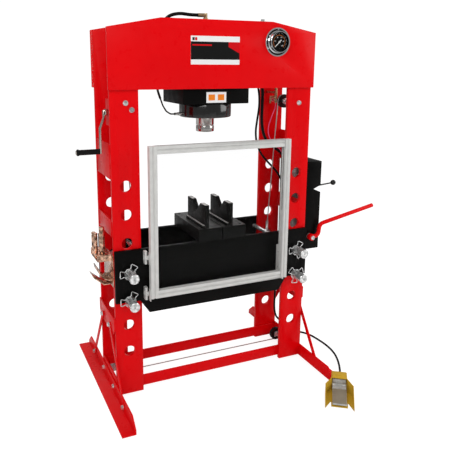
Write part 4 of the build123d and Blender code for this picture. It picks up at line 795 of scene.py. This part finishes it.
class PRESS_OT_plated(bpy.types.Operator):
    """Plated pins, bolts and brackets, the cast pump, the crank arm and the valve lever"""

    bl_idname = "press.plated"
    bl_label = "Pins, bolts and levers"

    def execute(self, context):
        look = context.scene.press_finish
        # The strong cloudy mottle paints bright and dark reflection bands onto the pins, over an uneven
        # plated tone
        zinc = plated("zinc_plate", look.zinc, rough=0.20, metal=0.7, mottle=0.5, cloud=70)
        finish_nodes(("frame_bolts", "sheave_mounts", "hoist_fittings", "handle_pin",
                      "bed_pin_1", "bed_pin_2", "bed_pin_3", "bed_pin_4"), NO_EDGE, zinc)
        alloy = plated("pump_alloy", (0.55, 0.55, 0.54), rough=0.35, metal=0.5, mottle=0.3)
        finish_node("air_pump", NO_EDGE, (alloy,))
        arm = plated("crank_steel", (0.60, 0.52, 0.46), rough=0.22)
        finish_node("crank_arm", context.scene.press_sizes.fine_edge, (arm,))
        lever = plated("lever_black", (0.01, 0.01, 0.01), rough=0.3, metal=0.0)
        finish_node("valve_lever", NO_EDGE, (lever,))
        return {"FINISHED"}


class PRESS_OT_ram(bpy.types.Operator):
    """Hard chrome ram with its nose, and the cylinder's fittings"""

    bl_idname = "press.ram"
    bl_label = "Ram and fittings"

    def execute(self, context):
        chrome = plated("hard_chrome", (0.62, 0.61, 0.59), rough=0.14, grain=(1, 1, 12))
        finish_nodes(("ram_rod", "ram_nose"), context.scene.press_sizes.fine_edge, chrome)
        finish_node("hydraulic_fittings", NO_EDGE, (fitting_metal("fitting_metal"),))
        return {"FINISHED"}


class PRESS_OT_guard(bpy.types.Operator):
    """Aluminium guard with its hinges, its bolts and its clear pane"""

    bl_idname = "press.guard"
    bl_label = "Guard"

    def execute(self, context):
        look = context.scene.press_finish
        aluminium = plated("guard_aluminium", look.aluminium, rough=0.45, grain=(8, 8, 1),
                           metal=0.25, mottle=0.05)
        finish_nodes(("guard_frame", "guard_mounts"), context.scene.press_sizes.fine_edge, aluminium)
        hinge_webs(aluminium)
        dark = plated("bolt_black", (0.02, 0.02, 0.02), rough=0.35, metal=0.3)
        finish_node("guard_bolts", NO_EDGE, (dark,))
        finish_node("guard_pane", NO_EDGE, (clear_sheet("guard_sheet"),))
        return {"FINISHED"}


class PRESS_OT_tooling(bpy.types.Operator):
    """Dark arbor plates and vee blocks whose top faces are lighter: painted top light, over bare ground
    steel on the vee tops
    """

    bl_idname = "press.tooling"
    bl_label = "Arbor plates and vee blocks"

    def execute(self, context):
        sizes = context.scene.press_sizes
        steel = enamel("tool_steel", (0.004, 0.004, 0.0036), rough=0.45, shine=0.10)
        edge = plated("tool_steel_edge", (0.20, 0.20, 0.19), rough=0.36, grain=(6, 1, 6), metal=0.5)
        # Lighter copies of the steel for the top faces: painted top light on the arbor plates, and painted
        # top light over bare ground steel on the vee blocks
        top = plated("tool_steel_painted_top", (0.040, 0.040, 0.037), rough=0.5, grain=(6, 1, 6),
                     metal=0.1, mottle=0.7)
        ground_and_lit = plated("tool_steel_ground_and_lit", (0.38, 0.37, 0.36), rough=0.35, grain=(6, 1, 6), metal=0.4)
        for node, face in (("arbor_plates", top), ("vee_blocks", ground_and_lit)):
            worked_faces(finish_node(node, sizes.plate_edge, (steel, edge, face)), 2, (0, 0, 1))
        return {"FINISHED"}


class PRESS_OT_rack(bpy.types.Operator):
    """Copper lacquer on the tool rack and the press tools"""

    bl_idname = "press.rack"
    bl_label = "Tool rack and tools"

    def execute(self, context):
        # The strong mottle paints highlights and shade at random over the copper, standing for its bright
        # glints and the dark gaps between its knobs, along with uneven lacquer tone
        copper = plated("copper_lacquer", context.scene.press_finish.copper, rough=0.18,
                        metal=0.85, mottle=0.88, cloud=60)
        finish_nodes(("tool_rack", "press_tools"), context.scene.press_sizes.fine_edge, copper)
        return {"FINISHED"}


class PRESS_OT_lines(bpy.types.Operator):
    """Hoist ropes, oil hoses, the air line, the foot valve's hose and the crank's rubber grip"""

    bl_idname = "press.lines"
    bl_label = "Ropes and hoses"

    def execute(self, context):
        strand = plated("wire_strand", (0.55, 0.52, 0.50), rough=0.45)
        finish_nodes(("rope_long", "rope_short"), NO_EDGE, strand)
        black = rubber("black_rubber", (0.005, 0.005, 0.005), rough=0.5, shine=0.12)
        finish_nodes(("crank_grip", "hose_upper", "hose_lower"), NO_EDGE, black)
        foot_hose(black)
        finish_node("air_line", NO_EDGE, (rubber("air_line_red", (0.70, 0.10, 0.24), rough=0.3),))
        return {"FINISHED"}


class PRESS_OT_sheaves(bpy.types.Operator):
    """Smooth black plastic on the sheaves and the lever's ball"""

    bl_idname = "press.sheaves"
    bl_label = "Sheaves and ball"

    def execute(self, context):
        plastic = rubber("ball_plastic", (0.004, 0.004, 0.004), rough=0.2, scale=200, shine=0.4)
        finish_nodes(("lever_ball", "sheave_top", "sheave_low_right", "sheave_low_left"), NO_EDGE, plastic)
        return {"FINISHED"}


class PRESS_OT_pedal(bpy.types.Operator):
    """Foot valve with its yellow hood, grey treadle and ribbed pad"""

    bl_idname = "press.pedal"
    bl_label = "Foot valve"

    def execute(self, context):
        edge = context.scene.press_sizes.fine_edge
        yellow = enamel("pedal_yellow", context.scene.press_finish.yellow, rough=0.35)
        finish_node("pedal_base", edge, (yellow,))
        grey = plated("treadle_grey", (0.55, 0.55, 0.53), rough=0.45, metal=0.3)
        finish_nodes(("pedal_block", "pedal_treadle"), edge, grey)
        taupe = rubber("pad_taupe", (0.24, 0.20, 0.145), rough=0.7)
        finish_node("pedal_pad", edge, (taupe,))
        tread_ribs(taupe)
        return {"FINISHED"}


class PRESS_OT_gauge(bpy.types.Operator):
    """Gauge with a chrome case, a black dial, a white needle and a glass"""

    bl_idname = "press.gauge"
    bl_label = "Gauge"

    def execute(self, context):
        case = ringed("gauge_chrome", middle("gauge_case"), BEZEL_PAINTED_DARK_BANDS)
        finish_node("gauge_case", NO_EDGE, (case,))
        finish_node("gauge_lens", NO_EDGE, (clear_sheet("gauge_glass", alpha=0.012, shine=0.05),))
        finish_node("gauge_needle", NO_EDGE, (enamel("needle_white", (0.85, 0.85, 0.82)),))
        dial = rubber("dial_black", (0.004, 0.004, 0.004), rough=0.6, shine=0.05)
        finish_node("gauge_dial", NO_EDGE, (dial,))
        gauge_face()
        return {"FINISHED"}


class PRESS_OT_labels(bpy.types.Operator):
    """Label on the head and notice on the saddle, both without words"""

    bl_idname = "press.labels"
    bl_label = "Label plates"

    def execute(self, context):
        finish_node("label_plates", NO_EDGE, (label_sheet("label_sheet"),))
        return {"FINISHED"}


# Stage, with its lamps as name, place, size and power


FLOOR_HALF = 14.0
FLOOR_DROP = 0.001
FLOOR_WHITE = 1.42
FLOOR_WHITE_SHARE = 0.60
FILL_STRENGTH = 0.55
FILL_IN_MIRRORS = 0.30
BACKDROP_WHITE = 1.05
AIM_HEIGHT = 1.0
LAMPS = (("key", (-2.2, -3.2, 3.6), 2.4, 78), ("side", (3.4, -1.6, 2.6), 2.4, 46),
         ("back", (0.5, 3.2, 3.4), 3.0, 42))


class PRESS_OT_stage(bpy.types.Operator):
    """Pale floor, soft lamps and the camera of the photograph"""

    bl_idname = "press.stage"
    bl_label = "Stage"

    def execute(self, context):
        view = context.scene.press_view
        floor_stage()
        studio_light()
        camera = new_object("photo_camera", bpy.data.cameras.new("photo_camera"))
        camera.data.sensor_width = 36.0
        camera.data.lens = view.focal
        camera.data.shift_x, camera.data.shift_y = view.shift
        camera.location = AXIS + Vector(view.camera_at)
        pitch, roll, turn = view.camera_turn
        camera.rotation_euler = (Matrix.Rotation(turn, 3, "Z") @ Matrix.Rotation(pitch, 3, "X")
                                 @ Matrix.Rotation(roll, 3, "Z")).to_euler()
        context.scene.camera = camera
        return {"FINISHED"}


def floor_stage():
    """A pale floor that keeps the press's shadow and turns white to the camera around it."""
    mesh = bpy.data.meshes.new("floor")
    signs = ((-1, -1), (1, -1), (1, 1), (-1, 1))
    corners = [(x * FLOOR_HALF, y * FLOOR_HALF, -FLOOR_DROP) for x, y in signs]
    mesh.from_pydata(corners, [], [(0, 1, 2, 3)])
    floor = new_object("floor", mesh)
    s = Shader("floor_paper")
    s.colour(s.mix(s.noise(0.8), (0.90, 0.90, 0.90), (0.94, 0.94, 0.94)))
    s.set(Roughness=0.9, Specular_IOR_Level=0.1)
    white = s.node("ShaderNodeEmission")
    white.inputs["Color"].default_value = (1, 1, 1, 1)
    white.inputs["Strength"].default_value = FLOOR_WHITE
    shadow = s.node("ShaderNodeMixShader")
    path = s.node("ShaderNodeLightPath")
    weight = s.math("MULTIPLY", path.outputs["Is Camera Ray"], FLOOR_WHITE_SHARE)
    s.link(weight, shadow.inputs[0])
    s.link(s.bsdf.outputs[0], shadow.inputs[1])
    s.link(white.outputs[0], shadow.inputs[2])
    out = [n for n in s.tree.nodes if n.type == "OUTPUT_MATERIAL"][0]
    s.link(shadow.outputs[0], out.inputs[0])
    mesh.materials.append(s.material)


def studio_light():
    """A soft white world, dimmer in mirrors, and three large lamps."""
    world = bpy.data.worlds.new("studio")
    world.use_nodes = True
    tree = world.node_tree
    tree.nodes.clear()
    out = tree.nodes.new("ShaderNodeOutputWorld")
    fill = tree.nodes.new("ShaderNodeBackground")
    fill.inputs["Color"].default_value = (1, 1, 1, 1)
    path = tree.nodes.new("ShaderNodeLightPath")
    mirror = tree.nodes.new("ShaderNodeMapRange")
    tree.links.new(path.outputs["Is Glossy Ray"], mirror.inputs["Value"])
    mirror.inputs["To Min"].default_value = FILL_STRENGTH
    mirror.inputs["To Max"].default_value = FILL_IN_MIRRORS
    tree.links.new(mirror.outputs[0], fill.inputs["Strength"])
    seen = tree.nodes.new("ShaderNodeBackground")
    seen.inputs["Strength"].default_value = BACKDROP_WHITE
    seen.inputs["Color"].default_value = (1, 1, 1, 1)
    mix = tree.nodes.new("ShaderNodeMixShader")
    tree.links.new(path.outputs["Is Camera Ray"], mix.inputs[0])
    tree.links.new(fill.outputs[0], mix.inputs[1])
    tree.links.new(seen.outputs[0], mix.inputs[2])
    tree.links.new(mix.outputs[0], out.inputs[0])
    bpy.context.scene.world = world
    for name, at, size, power in LAMPS:
        lamp = bpy.data.lights.new(name, "AREA")
        lamp.energy = power
        lamp.size = size
        obj = new_object(name, lamp)
        obj.location = AXIS + Vector(at)
        aim = AXIS + Vector((0, 0, AIM_HEIGHT)) - obj.location
        obj.rotation_euler = aim.to_track_quat("-Z", "Y").to_euler()


# The add-on


class PRESS_PT_panel(bpy.types.Panel):
    """Lists the pieces of the press and their finishes"""

    bl_idname = "PRESS_PT_panel"
    bl_label = "Shop press"
    bl_space_type = "VIEW_3D"
    bl_region_type = "UI"
    bl_category = "Shop press"

    def draw(self, context):
        for group in (context.scene.press_finish, context.scene.press_sizes, context.scene.press_view):
            box = self.layout.box()
            for name in group.bl_rna.properties.keys():
                if name not in ("rna_type", "name"):
                    box.prop(group, name)
        for operator in OPERATORS:
            self.layout.operator(operator.bl_idname)


OPERATORS = (PRESS_OT_frame, PRESS_OT_black, PRESS_OT_plated, PRESS_OT_ram, PRESS_OT_guard,
             PRESS_OT_tooling, PRESS_OT_rack, PRESS_OT_lines, PRESS_OT_sheaves, PRESS_OT_pedal,
             PRESS_OT_gauge, PRESS_OT_labels, PRESS_OT_stage)
GROUPS = (("press_finish", PressFinish), ("press_sizes", PressSizes), ("press_view", PressView))


def register():
    for name, group in GROUPS:
        bpy.utils.register_class(group)
        setattr(bpy.types.Scene, name, PointerProperty(type=group))
    for operator in OPERATORS:
        bpy.utils.register_class(operator)
    bpy.utils.register_class(PRESS_PT_panel)


def unregister():
    bpy.utils.unregister_class(PRESS_PT_panel)
    for operator in reversed(OPERATORS):
        bpy.utils.unregister_class(operator)
    for name, group in reversed(GROUPS):
        delattr(bpy.types.Scene, name)
        bpy.utils.unregister_class(group)


def main():
    register()
    bpy.context.scene.view_settings.view_transform = "Standard"
    bpy.ops.press.frame()
    bpy.ops.press.black()
    bpy.ops.press.plated()
    bpy.ops.press.ram()
    bpy.ops.press.guard()
    bpy.ops.press.tooling()
    bpy.ops.press.rack()
    bpy.ops.press.lines()
    bpy.ops.press.sheaves()
    bpy.ops.press.pedal()
    bpy.ops.press.gauge()
    bpy.ops.press.labels()
    bpy.ops.press.stage()


if __name__ == "__main__":
    main()
